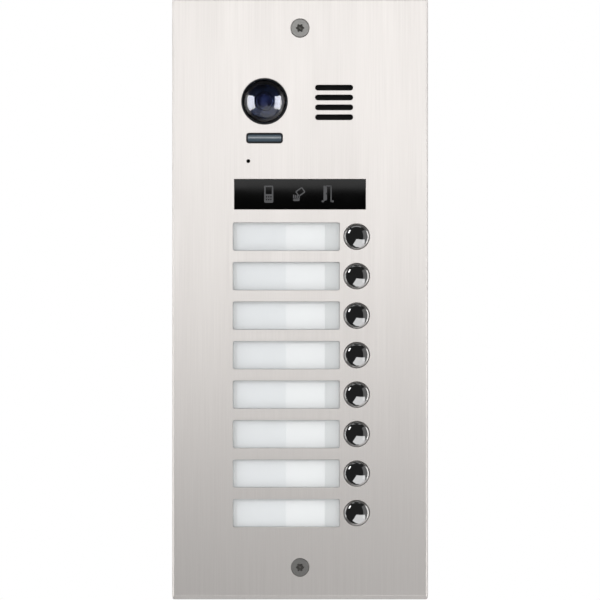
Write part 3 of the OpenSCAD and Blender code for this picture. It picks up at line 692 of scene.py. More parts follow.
def softened(node: str, name: str, width: float, seams: Sequence[float] = (),
             degrees: float = 40) -> bpy.types.Object:
    """Copies a fixed part, merges its loose triangles and rounds its sharp edges.

    A flat face is split along a level line through each of its holes, so that it needs no
    thin triangles, which rounding would fold over.

    Args:
        node: The fixed part.
        name: Name of the new piece.
        width: Width of the rounding.
        seams: Heights of the level lines; the middle of the part when there are none.
        degrees: Edges flatter than this stay as they are.

    Returns:
        The new piece.
    """
    piece = bpy.data.objects.new(name, frame["nodes"][node].data.copy())
    piece.data.name = name
    piece.data.materials.clear()
    bpy.context.scene.collection.objects.link(piece)
    only(piece)
    if piece.data.has_custom_normals:
        bpy.ops.mesh.customdata_custom_splitnormals_clear()
    bpy.ops.object.mode_set(mode="EDIT")
    bpy.ops.mesh.select_all(action="SELECT")
    bpy.ops.mesh.remove_doubles(threshold=1e-6)
    for z in seams or (middle(node).z,):
        bpy.ops.mesh.select_all(action="SELECT")
        bpy.ops.mesh.bisect(plane_co=(0, 0, z), plane_no=(0, 0, 1))
        bpy.ops.mesh.mark_seam(clear=False)
    bpy.ops.mesh.select_all(action="SELECT")
    bpy.ops.mesh.dissolve_limited(angle_limit=math.radians(0.5), delimit={"SEAM"})
    done(piece)
    return eased(piece, width, degrees=degrees)


def dress(piece: bpy.types.Object, finish: Finish, body: str, slot: str,
          *nodes: str) -> bpy.types.Object:
    """Gives a piece its material and its body, and hides the fixed parts that it replaces.

    Args:
        piece: The finished piece.
        finish: Its surface finish.
        body: The body that it moves with.
        slot: The record's material slot. Not used.
        nodes: The fixed parts that it replaces.

    Returns:
        The piece.
    """
    piece.data.materials.clear()
    piece.data.materials.append(finish.material())
    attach(piece, body)
    if nodes:
        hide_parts(*nodes)
    log.info("%s rides on %s: %d faces", piece.name, body, len(piece.data.polygons))
    return piece


def keep(node: str, finish: Finish) -> None:
    """Gives a fixed part that stays in view its material.

    Args:
        node: The fixed part.
        finish: Its surface finish.
    """
    part = frame["nodes"][node]
    part.data.materials.clear()
    part.data.materials.append(finish.material())
    log.info("%s keeps its shape", node)


def middle(node: str) -> Vector:
    """Returns the middle of a fixed part's box."""
    low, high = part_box(node)
    return (low + high) / 2


# ---------------------------------------------------------------- the panel's pieces


@dataclass
class Plate:
    """The steel faceplate, its gasket, and the studs and nuts behind it.

    Attributes:
        edge: Rounding of the plate's edges.
        flattest: Edges flatter than this many degrees, as along the end bevels, stay as they are.
        foam_edge: Rounding of the gasket's edges.
        nut_edge: Rounding of the nuts' edges.
        screw_head_radius: Radius of the fixing screws' heads.
        slot_pitch: Distance from one of the loudspeaker's slots to the next.
        slots: Number of slots.
        stud_radius: Outer radius of the M3 thread.
        stud_foot: Plain length at the weld, before the thread starts.
        stud_chamfer: Chamfer at the stud's tip.
        thread_pitch: The thread's pitch.
        thread_depth: Depth of the thread's groove.
    """

    edge: float = 0.16 * MM
    flattest: float = 20
    foam_edge: float = 0.3 * MM
    nut_edge: float = 0.25 * MM
    screw_head_radius: float = 5.0 * MM
    slot_pitch: float = 5.4 * MM
    slots: int = 4
    stud_radius: float = 1.5 * MM
    stud_foot: float = 2.0 * MM
    stud_chamfer: float = 0.4 * MM
    thread_pitch: float = 0.5 * MM
    thread_depth: float = 0.16 * MM

    def build(self) -> None:
        """Makes the plate's own pieces."""
        plate = softened("faceplate", "front_plate", self.edge, self.seams(), self.flattest)
        dress(plate, PLATE, "panel", "plate_steel", "faceplate")
        dress(softened("wall_gasket", "foam_gasket", self.foam_edge), FOAM, "panel",
              "gasket_foam", "wall_gasket")
        dress(softened("stud_nuts", "clamp_nuts", self.nut_edge), ZINC, "panel", "stud_steel",
              "stud_nuts")
        self.studs()

    def seams(self) -> list[float]:
        """Returns the height of every hole in the plate.

        Returns:
            The heights.
        """
        screw_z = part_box("fixing_screws")[1].z - self.screw_head_radius
        speaker_z = middle("speaker_membrane").z
        holes = ["camera_dome", "light_window", "mic_boot", "status_window",
                 *[n for n in frame["nodes"] if n.startswith("call_button")]]
        return [screw_z, -screw_z, *[middle(node).z for node in holes],
                *[speaker_z + self.slot_pitch * (i - (self.slots - 1) / 2)
                  for i in range(self.slots)]]

    def studs(self) -> None:
        """Turns one threaded stud and copies it to every stud's place."""
        low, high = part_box("weld_studs")
        places = self.stud_places()
        x, z = places[0]
        rings = [(self.stud_radius, low.y)]
        y = low.y + self.stud_foot
        while y < high.y - self.thread_pitch:
            rings += [(self.stud_radius, y), (self.stud_radius - self.thread_depth,
                                              y + self.thread_pitch / 2)]
            y += self.thread_pitch
        rings += [(self.stud_radius, y), (self.stud_radius - self.stud_chamfer, high.y)]
        first = smooth(turned("threaded_stud_1", x, z, rings, 24), 20)
        copies = [shifted(first, f"threaded_stud_{i + 2}", (px - x, 0, pz - z))
                  for i, (px, pz) in enumerate(places[1:])]
        dress(joined("threaded_studs", [first, *copies]), ZINC, "panel", "stud_steel",
              "weld_studs")

    def stud_places(self) -> list[tuple[float, float]]:
        """Finds each stud's axis from the ends of its shaft.

        Returns:
            X and z of each axis.
        """
        low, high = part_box("weld_studs")
        tips = [vertex.co for vertex in frame["nodes"]["weld_studs"].data.vertices
                if vertex.co.y > high.y - 1e-6]
        reach = 2.1 * self.stud_radius
        studs: list[list[Vector]] = []
        for tip in tips:
            for stud in studs:
                if math.hypot(tip.x - stud[0].x, tip.z - stud[0].z) < reach:
                    stud.append(tip)
                    break
            else:
                studs.append([tip])
        return [((min(tip.x for tip in stud) + max(tip.x for tip in stud)) / 2,
                 (min(tip.z for tip in stud) + max(tip.z for tip in stud)) / 2)
                for stud in studs]


@dataclass
class FixingScrews:
    """The two tamper-proof screws: a countersunk head with six lobes round a pin.

    Attributes:
        head_radius: Widest radius of the head.
        shank_radius: Outer radius of the thread.
        neck_radius: Radius of the neck that the retaining washer sits round.
        recess_radius: Radius of the recess's middle drum.
        lobe_radius: Radius of each lobe.
        lobe_reach: Distance from the axis to a lobe's middle.
        recess_depth: Depth of the recess.
        unshaded_depth: Top of the recess's wall that is left without painted shade.
        pin_radius: Radius of the centre pin, with a smaller tip.
        pin_tip: How far the pin's tip lies behind the head's face.
        pin_shoulder: Where the pin has its full radius.
        rim_radius: Radius of the head's flat face, rim_depth in front of its widest ring.
        neck_step: Length over which the head narrows to the neck.
        overlap: How far the pin reaches into the floor of the recess.
        pitch: The thread's pitch.
        thread_depth: Depth of the thread's groove.
        thread_lead: Length over which the neck widens to the thread.
        point_length: Length of the screw's point.
        point_narrowing: How much the point narrows.
        edge: Rounding of the head's and the recess's edges.
        lobes: Number of lobes.
    """

    head_radius: float = 5.0 * MM
    shank_radius: float = 2.5 * MM
    neck_radius: float = 2.0 * MM
    recess_radius: float = 1.75 * MM
    lobe_radius: float = 0.5 * MM
    lobe_reach: float = 1.8 * MM
    recess_depth: float = 1.6 * MM
    unshaded_depth: float = 0.15 * MM
    pin_radius: float = 0.65 * MM
    pin_tip_radius: float = 0.39 * MM
    pin_tip: float = 0.25 * MM
    pin_shoulder: float = 0.45 * MM
    rim_radius: float = 4.75 * MM
    rim_depth: float = 0.2 * MM
    neck_step: float = 0.15 * MM
    overlap: float = 0.1 * MM
    pitch: float = 0.8 * MM
    thread_depth: float = 0.35 * MM
    thread_lead: float = 0.3 * MM
    point_length: float = 1.6 * MM
    point_narrowing: float = 0.9 * MM
    edge: float = 0.08 * MM
    lobes: int = 6

    def build(self) -> None:
        """Makes one screw, and its twin at the other end."""
        low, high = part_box("fixing_screws")
        front, tip = low.y, high.y
        z = high.z - self.head_radius
        screw = self.body(front, tip, z)
        for cutter in self.cutters(front, z):
            cut(screw, cutter)
        eased(screw, self.edge, 2, 50)
        pin = turned("screw_pin", 0, z, [
            (self.pin_tip_radius, front + self.pin_tip),
            (self.pin_radius, front + self.pin_shoulder),
            (self.pin_radius, front + self.recess_depth + self.overlap)], 24)
        top = joined("fixing_screw_top", [screw, smooth(pin)])
        bottom = shifted(top, "fixing_screw_bottom", (0, 0, -2 * z))
        for piece in (top, bottom):
            dress(piece, SCREW, "panel", "screw_steel", "fixing_screws")
            self.paint_recess_shade(piece, front)

    def paint_recess_shade(self, screw: bpy.types.Object, front: float) -> None:
        """Gives the recess's floor and walls their own darker finish: painted shade for the recess.

        Args:
            screw: The screw, already dressed.
            front: Y of the head's face.
        """
        low, high = Vector(screw.bound_box[0]), Vector(screw.bound_box[6])
        centre = (low + high) / 2
        screw.data.materials.append(RECESS_SHADE.material())
        for face in screw.data.polygons:
            out = face.center - centre
            if math.hypot(out.x, out.z) < self.lobe_reach + self.lobe_radius and \
                    self.unshaded_depth < face.center.y - front < self.recess_depth + self.overlap / 2:
                face.material_index = 1

    def body(self, front: float, tip: float, z: float) -> bpy.types.Object:
        """Turns the head, the neck and the thread.

        Args:
            front: Y of the head's face.
            tip: Y of the screw's tip.
            z: Height of its axis.

        Returns:
            The screw, with no recess yet.
        """
        head_back = front + self.head_radius - self.shank_radius
        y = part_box("screw_retainers")[1].y
        rings = [(self.rim_radius, front), (self.head_radius, front + self.rim_depth),
                 (self.shank_radius, head_back), (self.neck_radius, head_back + self.neck_step),
                 (self.neck_radius, y), (self.shank_radius, y + self.thread_lead)]
        y += self.thread_lead
        while y < tip - self.point_length:
            rings += [(self.shank_radius - self.thread_depth, y + self.pitch / 2),
                      (self.shank_radius, y + self.pitch)]
            y += self.pitch
        rings += [(self.shank_radius - self.point_narrowing, tip)]
        return turned("fixing_screw", 0, z, rings, 64)

    def cutters(self, front: float, z: float) -> list[bpy.types.Object]:
        """Returns the drums that cut the six-lobe recess.

        Args:
            front: Y of the head's face.
            z: Height of the screw's axis.

        Returns:
            The drums.
        """
        reach = (front - 1 * MM, front + self.recess_depth)
        drums = [drum("recess", 0, z, self.recess_radius, *reach)]
        for i in range(self.lobes):
            turn = 2 * math.pi * i / self.lobes
            drums.append(drum("lobe", self.lobe_reach * math.cos(turn),
                              z + self.lobe_reach * math.sin(turn), self.lobe_radius, *reach, 24))
        return drums


@dataclass
class Camera:
    """The camera behind its dome: bezel ring, dome, ball, lens barrel and front lens.

    Attributes:
        wall: Thickness of the dome's wall.
        rim: Width of the bezel's visible ring.
        flange_reach: How far the flanges reach past the ring, behind the plate.
        flange_depth: Thickness of the flanges.
        pole_radius: Radius of the last ring before the dome's pole.
        ring_outside: The bezel's outer rounding: steps in from its side and back from its front.
        ring_inside: The same for its inner rounding.
        fit_gap: Gap between the dome and the bezel.
        mouth_gap: Gap between the barrel and the ball's mouth.
        mouth_lip: Width of the flat lip round the mouth.
        mouth_flare: How much the mouth widens towards its lip, over flare_depth and mouth_depth.
        barrel_radius: Outer radius of the lens barrel.
        barrel_steps: The barrel's front: steps in from its side and back from its front.
        throat_steps: The same from the barrel's bore.
        lens_radius: Radius of the front lens.
        lens_curve: Radius of the lens's curved face.
        pin_radius: Radius of the two pins that the ball turns on.
        pin_root: How far each pin reaches into the ball.
        pin_edge: Rounding of the pins' ends.
        pivot: The middle of the ball, where its joint is.
    """

    wall: float = 1.0 * MM
    rim: float = 1.15 * MM
    flange_reach: float = 2.8 * MM
    flange_depth: float = 0.6 * MM
    pole_radius: float = 0.15 * MM
    ring_outside: Profile = ((0.0, 0.3 * MM), (0.12 * MM, 0.08 * MM), (0.35 * MM, 0.0))
    ring_inside: Profile = ((0.4 * MM, 0.06 * MM), (0.1 * MM, 0.3 * MM), (0.0, 0.6 * MM))
    fit_gap: float = 0.05 * MM
    mouth_gap: float = 0.1 * MM
    mouth_lip: float = 0.7 * MM
    mouth_flare: float = 0.2 * MM
    flare_depth: float = 0.25 * MM
    mouth_depth: float = 1.2 * MM
    barrel_radius: float = 4.5 * MM
    barrel_steps: Profile = ((0.0, 0.3 * MM), (0.3 * MM, 0.0), (0.55 * MM, 0.0),
                             (0.6 * MM, 0.35 * MM), (0.9 * MM, 0.4 * MM))
    throat_steps: Profile = ((0.02 * MM, 1.0 * MM), (0.0, 1.3 * MM))
    lens_radius: float = 3.46 * MM
    lens_curve: float = 6 * MM
    pin_radius: float = 1 * MM
    pin_root: float = 0.6 * MM
    pin_edge: float = 0.15 * MM
    pivot: Vector = field(default_factory=lambda: Vector(next(
        j["pos_m"] for j in frame["joints"] if j["name"] == "camera_tilt")))

    def build(self) -> None:
        """Makes every piece that shows through or round the dome."""
        self.bezel()
        self.dome()
        self.ball()
        self.lens()

    @property
    def base_radius(self) -> float:
        """Radius of the dome's straight skirt, a wall inside the bezel's outer face."""
        low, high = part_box("camera_bezel")
        return (high.x - low.x) / 2 - self.flange_reach - self.rim

    def bezel(self) -> None:
        """Turns the ring, rounded on its front, with its flange behind the plate."""
        low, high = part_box("camera_bezel")
        inner, outer = self.base_radius + self.fit_gap, self.base_radius + self.rim
        flange = (high.x - low.x) / 2
        back = high.y - self.flange_depth
        rings = [(inner, high.y), (flange, high.y), (flange, back), (outer, back),
                 *[(outer - r, low.y + y) for r, y in self.ring_outside],
                 *[(inner + r, low.y + y) for r, y in self.ring_inside], (inner, high.y)]
        ring = self.open_ring("bezel_ring", rings)
        dress(smooth(ring), BEZEL, "panel", "bezel_black", "camera_bezel")

    def open_ring(self, name: str, rings: Profile) -> bpy.types.Object:
        """Turns a ring with a hole through it: its profile ends where it starts.

        Args:
            name: Name of the piece.
            rings: Radius and y of each ring.

        Returns:
            The closed ring.
        """
        piece = turned(name, self.pivot.x, self.pivot.z, rings, 96)
        ends = {p.index for p in piece.data.polygons if len(p.vertices) > 4}
        pick(piece, "FACE", lambda face: face.index in ends)
        bpy.ops.mesh.delete(type="ONLY_FACE")
        bpy.ops.mesh.select_all(action="SELECT")
        bpy.ops.mesh.remove_doubles(threshold=1e-6)
        bpy.ops.mesh.normals_make_consistent(inside=False)
        return done(piece)

    def dome(self) -> None:
        """Turns the clear dome with its skirt and flange, hollow inside."""
        low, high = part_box("camera_dome")
        radius = self.pivot.y - low.y
        skirt = self.base_radius
        flange = (high.x - low.x) / 2
        back = high.y - self.flange_depth
        outer = arc(self.pivot.y, radius, self.pole_radius, skirt, 30)
        inner = arc(self.pivot.y, radius - self.wall, self.pole_radius, skirt - self.wall, 30)
        rings = [*outer, (skirt, back), (flange, back), (flange, high.y),
                 (skirt - self.wall, high.y), *reversed(inner)]
        shell = turned("clear_dome", self.pivot.x, self.pivot.z, rings, 96, pole=True)
        dress(smooth(shell, 50), DOME, "panel", "dome_clear", "camera_dome")

    def ball(self) -> None:
        """Turns the ball with the mouth that the lens looks out of, and its two pins."""
        low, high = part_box("camera_ball")
        radius = (high.z - low.z) / 2
        mouth = self.barrel_radius + self.mouth_gap
        front = arc(self.pivot.y, radius, mouth + self.mouth_lip, radius - 0.001 * MM, 22)
        back = [(r, 2 * self.pivot.y - y) for r, y in reversed(front[8:])]
        lip_y = front[0][1]
        rings = [(mouth, high.y), (mouth, lip_y + self.mouth_depth),
                 (mouth + self.mouth_flare, lip_y + self.flare_depth), *front,
                 *[(r, y) for r, y in back if y < high.y], (back[-1][0], high.y),
                 (mouth, high.y)]
        body = self.open_ring("camera_ball_body", rings)
        pin_end, pin_start = (high.x - low.x) / 2, radius - self.pin_root
        pins = []
        for side in (-1, 1):
            deselect()
            bpy.ops.mesh.primitive_cylinder_add(
                vertices=24, radius=self.pin_radius, depth=pin_end - pin_start,
                location=(self.pivot.x + side * (pin_end + pin_start) / 2, self.pivot.y,
                          self.pivot.z), rotation=(0, math.pi / 2, 0))
            pins.append(eased(named("ball_pin"), self.pin_edge))
        ball = joined("tilting_ball", [body, *pins])
        dress(smooth(ball, 40), BALL, "camera", "ball_black", "camera_ball")

    def lens(self) -> None:
        """Turns the stepped lens barrel, its inner ring and the front lens."""
        low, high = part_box("lens_barrel")
        front = low.y
        bore = self.lens_radius + 0.04 * MM
        outer = self.barrel_radius
        rings = [(bore, high.y), (outer, high.y),
                 *[(outer - r, front + y) for r, y in self.barrel_steps],
                 *[(bore + r, front + y) for r, y in self.throat_steps], (bore, high.y)]
        dress(smooth(self.open_ring("stepped_barrel", rings), 25), BARREL, "camera",
              "lens_barrel", "lens_barrel")
        low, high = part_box("lens_glass")
        glass = arc(low.y + self.lens_curve, self.lens_curve, 0.1 * MM, self.lens_radius, 18)
        piece = turned("front_lens", self.pivot.x, self.pivot.z,
                       [*glass, (self.lens_radius, high.y)], 72)
        dress(smooth(piece, 40), LENS, "camera", "lens_glass", "lens_glass")


@dataclass
class LightWindow:
    """The light window under the camera: a crowned frosted bar in a black ring of painted shade.

    Attributes:
        flange: How far the part's hidden flange reaches past the ring of painted shade.
        shade_ring_sunk: How far the ring's face lies behind the plate's.
        shade_ring_depth: Depth of the pocket that holds the bar.
        bar_sunk: How far the bar's crown lies behind the plate's face.
        bar_gap: Gap between the bar and the ring.
        bar_edge: Rounding of the bar's ends.
        shade_ring: Width of the ring.
        corner: Radius of the ring's corners.
        crown: Height of the crown.
    """

    flange: float = 1.6 * MM
    shade_ring_sunk: float = 0.15 * MM
    shade_ring_depth: float = 0.7 * MM
    bar_sunk: float = 0.1 * MM
    bar_gap: float = 0.05 * MM
    bar_edge: float = 0.3 * MM
    shade_ring: float = 0.6 * MM
    corner: float = 1.5 * MM
    crown: float = 0.9 * MM

    def build(self) -> None:
        """Makes the black ring of painted shade and the crowned bar, without the part's hidden
        flange.
        """
        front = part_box("faceplate")[0].y
        centre = middle("light_window")
        low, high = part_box("light_window")
        half = Vector(((high.x - low.x) / 2 - self.flange, 0, (high.z - low.z) / 2 - self.flange))
        # The black ring is painted shade: it stands in for the shade in the gap round the bar.
        shade_ring = self.bar("light_window_shade_ring", centre, half, front + self.shade_ring_sunk, high.y)
        inner = half - Vector((self.shade_ring, 0, self.shade_ring))
        cut(shade_ring, self.bar("light_cut", centre, inner, front - 1 * MM, front + self.shade_ring_depth))
        dress(smooth(shade_ring), GAP_SHADE, "panel", "light_window", "light_window")
        dress(self.crowned(centre, inner, front + self.bar_sunk), LIGHT, "panel",
              "light_window")

    def crowned(self, centre: Vector, inner: Vector, front: float) -> bpy.types.Object:
        """Makes the bar: a rod along X that is flattened to a low crown, with rounded ends.

        Args:
            centre: Its middle.
            inner: Half its width and height.
            front: Y of the crown.

        Returns:
            The bar.
        """
        half_x, half_z = inner.x - self.bar_gap, inner.z - self.bar_gap
        deselect()
        bpy.ops.mesh.primitive_cylinder_add(
            vertices=48, radius=half_z, depth=2 * half_x, rotation=(0, math.pi / 2, 0),
            location=(centre.x, front + self.crown, centre.z))
        rod = named("light_bar")
        bpy.ops.object.mode_set(mode="EDIT")
        bpy.ops.mesh.select_all(action="SELECT")
        bpy.ops.transform.resize(value=(1, self.crown / half_z, 1),
                                 center_override=(centre.x, front + self.crown, centre.z))
        done(rod)
        return eased(rod, self.bar_edge, 3)

    def bar(self, name: str, centre: Vector, half: Vector, y0: float,
            y1: float) -> bpy.types.Object:
        """Returns a block whose four corners along Y are rounded.

        Args:
            name: Name of the piece.
            centre: Its middle.
            half: Half its width and height.
            y0: Its front.
            y1: Its back.

        Returns:
            The block.
        """
        piece = block(name, (centre.x - half.x, y0, centre.z - half.z),
                      (centre.x + half.x, y1, centre.z + half.z))
        return round_corners(piece, min(self.corner, 0.9 * half.z), 8, 0.2 * MM)


@dataclass
class StatusWindow:
    """The dark window with its three printed signs.

    Attributes:
        edge: Rounding of the window's edges.
        print_height: Thickness of the ink.
        places: X of each sign.
    """

    edge: float = 0.25 * MM
    print_height: float = 0.08 * MM
    places: tuple[float, float, float] = (-17.1 * MM, -0.9 * MM, 15.1 * MM)

    def build(self) -> None:
        """Makes the window and the signs on it."""
        dress(softened("status_window", "status_glass", self.edge), STATUS, "panel",
              "status_black", "status_window")
        signs = [self.phone(), self.tag(), self.door()]
        for sign in signs:
            dress(smooth(sign), SIGN, "panel", "sign_grey", "status_signs")

    @property
    def front(self) -> float:
        """Y of the window's face."""
        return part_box("status_window")[0].y

    @property
    def z(self) -> float:
        """Height of the window's middle."""
        return middle("status_window").z

    def flat(self, x: float, z: float, w: float, h: float,
             round_off: float = 0.2) -> bpy.types.Object:
        """Prints a thin bar with rounded corners. All sizes are in millimetres.

        Args:
            x: Middle of the bar, from the panel's centre line.
            z: Middle of the bar, from the window's middle.
            w: Width.
            h: Height.
            round_off: Radius of the corners.

        Returns:
            The bar.
        """
        low = ((x - w / 2) * MM, self.front - self.print_height, self.z + (z - h / 2) * MM)
        high = ((x + w / 2) * MM, self.front, self.z + (z + h / 2) * MM)
        piece = block("sign_bar", low, high)
        return round_corners(piece, round_off * MM, 3, self.print_height / 2)

    def phone(self) -> bpy.types.Object:
        """Draws an entry phone: a case with a screen and two rows of keys.

        Returns:
            The sign.
        """
        x = self.places[0] / MM
        case = self.flat(x, 0, 5.0, 9.4, 0.7)
        cut(case, self.deep(x, 2.0, 3.4, 3.9))
        for row in (-1.4, -2.9):
            for column in (-1.2, 0.0, 1.2):
                cut(case, self.deep(x + column, row, 0.62, 0.8))
        case.name = "sign_entry_phone"
        return case

    def deep(self, x: float, z: float, w: float, h: float) -> bpy.types.Object:
        """Makes a block that cuts through the print. All sizes are in millimetres.

        Args:
            x: Middle of the block, from the panel's centre line.
            z: Middle of the block, from the window's middle.
            w: Width.
            h: Height.

        Returns:
            The cutter.
        """
        return block("sign_cut", ((x - w / 2) * MM, self.front - 1 * MM, self.z + (z - h / 2) * MM),
                     ((x + w / 2) * MM, self.front + 1 * MM, self.z + (z + h / 2) * MM))

    def tag(self) -> bpy.types.Object:
        """Draws a hand that holds up a small tag.

        Returns:
            The sign.
        """
        x = self.places[1] / MM
        tag = self.flat(x + 1.1, 1.3, 4.6, 3.6, 0.7)
        cut(tag, self.deep(x + 1.1, 1.3, 3.3, 2.3))
        pick(tag, "FACE", lambda face: True)
        bpy.ops.transform.rotate(value=math.radians(35), orient_axis="Y",
                                 center_override=((x + 1.1) * MM, 0, self.z + 1.3 * MM))
        done(tag)
        palm = self.flat(x - 1.1, -2.9, 3.6, 1.7, 0.6)
        fingers = [self.flat(x - 2.55 + 1.0 * i, -1.5, 0.7, 2.6 - 0.35 * i, 0.3)
                   for i in range(4)]
        return joined("sign_hand_tag", [tag, palm, *fingers])

    def door(self) -> bpy.types.Object:
        """Draws a door that stands open in its frame, with a foot on each side.

        Returns:
            The sign.
        """
        x = self.places[2] / MM
        leaf = self.flat(x - 1.3, 0.5, 1.9, 8.4, 0.25)
        pick(leaf, "VERT", lambda v: v.co.x > (x - 0.9) * MM)
        bpy.ops.transform.resize(value=(1, 1, 0.88), center_override=(x * MM, 0, self.z))
        done(leaf)
        cut(leaf, self.deep(x - 0.75, 0.3, 0.4, 0.9))
        bars = [self.flat(x + 1.9, 0.2, 0.8, 9.0), self.flat(x + 0.6, 4.5, 3.4, 0.5),
                self.flat(x - 2.6, -3.9, 1.4, 1.1, 0.5), self.flat(x + 2.7, -3.9, 1.4, 1.1, 0.5)]
        return joined("sign_open_door", [leaf, *bars])


@dataclass
class CallRows:
    """The column of name windows and call buttons with the carrier behind them.

    Attributes:
        rows: Number of rows.
        cap_radius: Radius of a button's cap.
        cap_rise: Height of the cap's dome.
        body_radius: Radius of the button's flange.
        stem_radius: Radius of the stem that presses the switch.
        flange: Thickness of the flange.
        cap_edge: Width of the rounding where the dome meets the cap's side.
        edge_depth: Depth of that rounding.
        stem_length: Length of the stem, with a chamfer at its end.
        press: How far a button travels. Not used.
        carrier_edge: Rounding of the carrier's edges.
        window_flange_x: Reach of a window's hidden flange at each end.
        window_flange_z: Reach of that flange above and below.
        window_corner: Radius of a window's corners.
        window_edge: Rounding of a window's edges.
        card_corner: Radius of a card's corners.
        wire_radius: Radius of a spring's wire.
        wire_sides: Sides of the wire.
        spring_turns: Turns of a spring.
        steps_per_turn: Steps of each turn.
    """

    rows: int = 8
    cap_radius: float = 6.8 * MM
    cap_rise: float = 3.5 * MM
    body_radius: float = 7.85 * MM
    stem_radius: float = 2.5 * MM
    flange: float = 1.2 * MM
    cap_edge: float = 0.12 * MM
    edge_depth: float = 0.15 * MM
    stem_length: float = 2.1 * MM
    stem_chamfer: float = 0.3 * MM
    press: float = 1.2 * MM
    carrier_edge: float = 0.25 * MM
    window_flange_x: float = 1.1 * MM
    window_flange_z: float = 1.6 * MM
    window_corner: float = 1.0 * MM
    window_edge: float = 0.2 * MM
    card_corner: float = 0.6 * MM
    wire_radius: float = 0.3 * MM
    wire_sides: int = 8
    spring_turns: int = 5
    steps_per_turn: int = 20

    def build(self) -> None:
        """Makes the carrier, then every row's pieces."""
        dress(softened("name_carrier", "diffuser_carrier", self.carrier_edge), CARRIER,
              "panel", "carrier_white", "name_carrier")
        self.windows_and_cards()
        first = self.button()
        for k in range(1, self.rows + 1):
            by = middle(f"call_button_{k}") - middle("call_button_1")
            cap = first if k == 1 else shifted(first, f"chrome_button_{k}", by)
            dress(cap, CHROME, f"button_{k}", "button_chrome", f"call_button_{k}")
            self.spring(k)

    def windows_and_cards(self) -> None:
        """Makes one clear window and one card, and copies them down the rows."""
        pitch = (middle("call_button_1") - middle(f"call_button_{self.rows}")).z / (self.rows - 1)
        window, card = self.window(), self.card()
        for k in range(1, self.rows + 1):
            by = (0, 0, -pitch * (k - 1))
            pane = window if k == 1 else shifted(window, f"clear_window_{k}", by)
            sheet = card if k == 1 else shifted(card, f"name_card_{k}", by)
            dress(pane, WINDOW, "panel", "window_clear", "name_windows")
            dress(sheet, CARD, "panel", "card_white", "name_cards")

    def window(self) -> bpy.types.Object:
        """Makes the first row's pane with rounded corners, without its hidden flange.

        Returns:
            The pane.
        """
        low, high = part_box("name_windows")
        centre_z = middle("call_button_1").z
        half_w = (high.x - low.x) / 2 - self.window_flange_x
        half_h = high.z - centre_z - self.window_flange_z
        x = (low.x + high.x) / 2
        pane = block("clear_window_1", (x - half_w, low.y, centre_z - half_h),
                     (x + half_w, high.y, centre_z + half_h))
        round_corners(pane, self.window_corner, 6, 1 * MM)
        return eased(pane, self.window_edge, 3, 50)

    def card(self) -> bpy.types.Object:
        """Makes the first row's name card, with softly rounded corners.

        Returns:
            The card.
        """
        low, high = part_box("name_cards")
        height = (high.z - low.z) - (self.rows - 1) * (
            middle("call_button_1") - middle("call_button_2")).z
        piece = block("name_card_1", (low.x, low.y, high.z - height), high)
        return smooth(round_corners(piece, self.card_corner, 4, 0.1 * MM))

    def button(self) -> bpy.types.Object:
        """Turns the first chrome button: dome, body, flange and stem.

        Returns:
            The button.
        """
        low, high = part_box("call_button_1")
        centre = middle("call_button_1")
        radius = (self.cap_radius ** 2 + self.cap_rise ** 2) / (2 * self.cap_rise)
        dome = arc(low.y + radius, radius, 0.1 * MM, self.cap_radius - self.cap_edge, 28)
        rim = low.y + self.cap_rise
        flange_back = high.y - self.stem_length
        rings = [*dome, (self.cap_radius, rim + self.edge_depth),
                 (self.cap_radius, flange_back - self.flange),
                 (self.body_radius, flange_back - self.flange), (self.body_radius, flange_back),
                 (self.stem_radius, flange_back),
                 (self.stem_radius, high.y - self.stem_chamfer),
                 (self.stem_radius - self.stem_chamfer, high.y)]
        return smooth(turned("chrome_button_1", centre.x, centre.z, rings, 96), 40)

    def spring(self, k: int) -> None:
        """Winds a button's return spring from round wire.

        Args:
            k: The button's number, from the top.
        """
        node = f"button_spring_{k}"
        low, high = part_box(node)
        centre = (low + high) / 2
        coil = (high.x - low.x) / 2 - self.wire_radius
        start = Vector((centre.x + coil, low.y + self.wire_radius, centre.z))
        deselect()
        bpy.ops.mesh.primitive_circle_add(vertices=self.wire_sides, radius=self.wire_radius,
                                          fill_type="NGON", location=start)
        wire = named(f"return_spring_{k}")
        bpy.ops.object.mode_set(mode="EDIT")
        bpy.ops.mesh.select_all(action="SELECT")
        rise = (high.y - low.y - 2 * self.wire_radius) / self.spring_turns
        steps = self.steps_per_turn * self.spring_turns
        bpy.ops.mesh.spin(steps=steps, angle=2 * math.pi * self.spring_turns, axis=(0, 1, 0),
                          center=(centre.x, start.y, centre.z))
        done(wire)
        for vertex in wire.data.vertices:
            step = vertex.index // self.wire_sides
            vertex.co.y += rise * self.spring_turns * min(step, steps) / steps
        dress(smooth(wire, 60), WIRE, "panel", "spring_steel", node)
        centre.z
        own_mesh(wire)


@dataclass(frozen=True)
class Fitting:
    """A part on the main board that shows through the cover.

    Attributes:
        node: The fixed part.
        name: Name of its finished piece.
        finish: Its surface finish.
        slot: The record's material slot.
        body: The body that it moves with.
    """

    node: str
    name: str
    finish: Finish
    slot: str
    body: str = "panel"


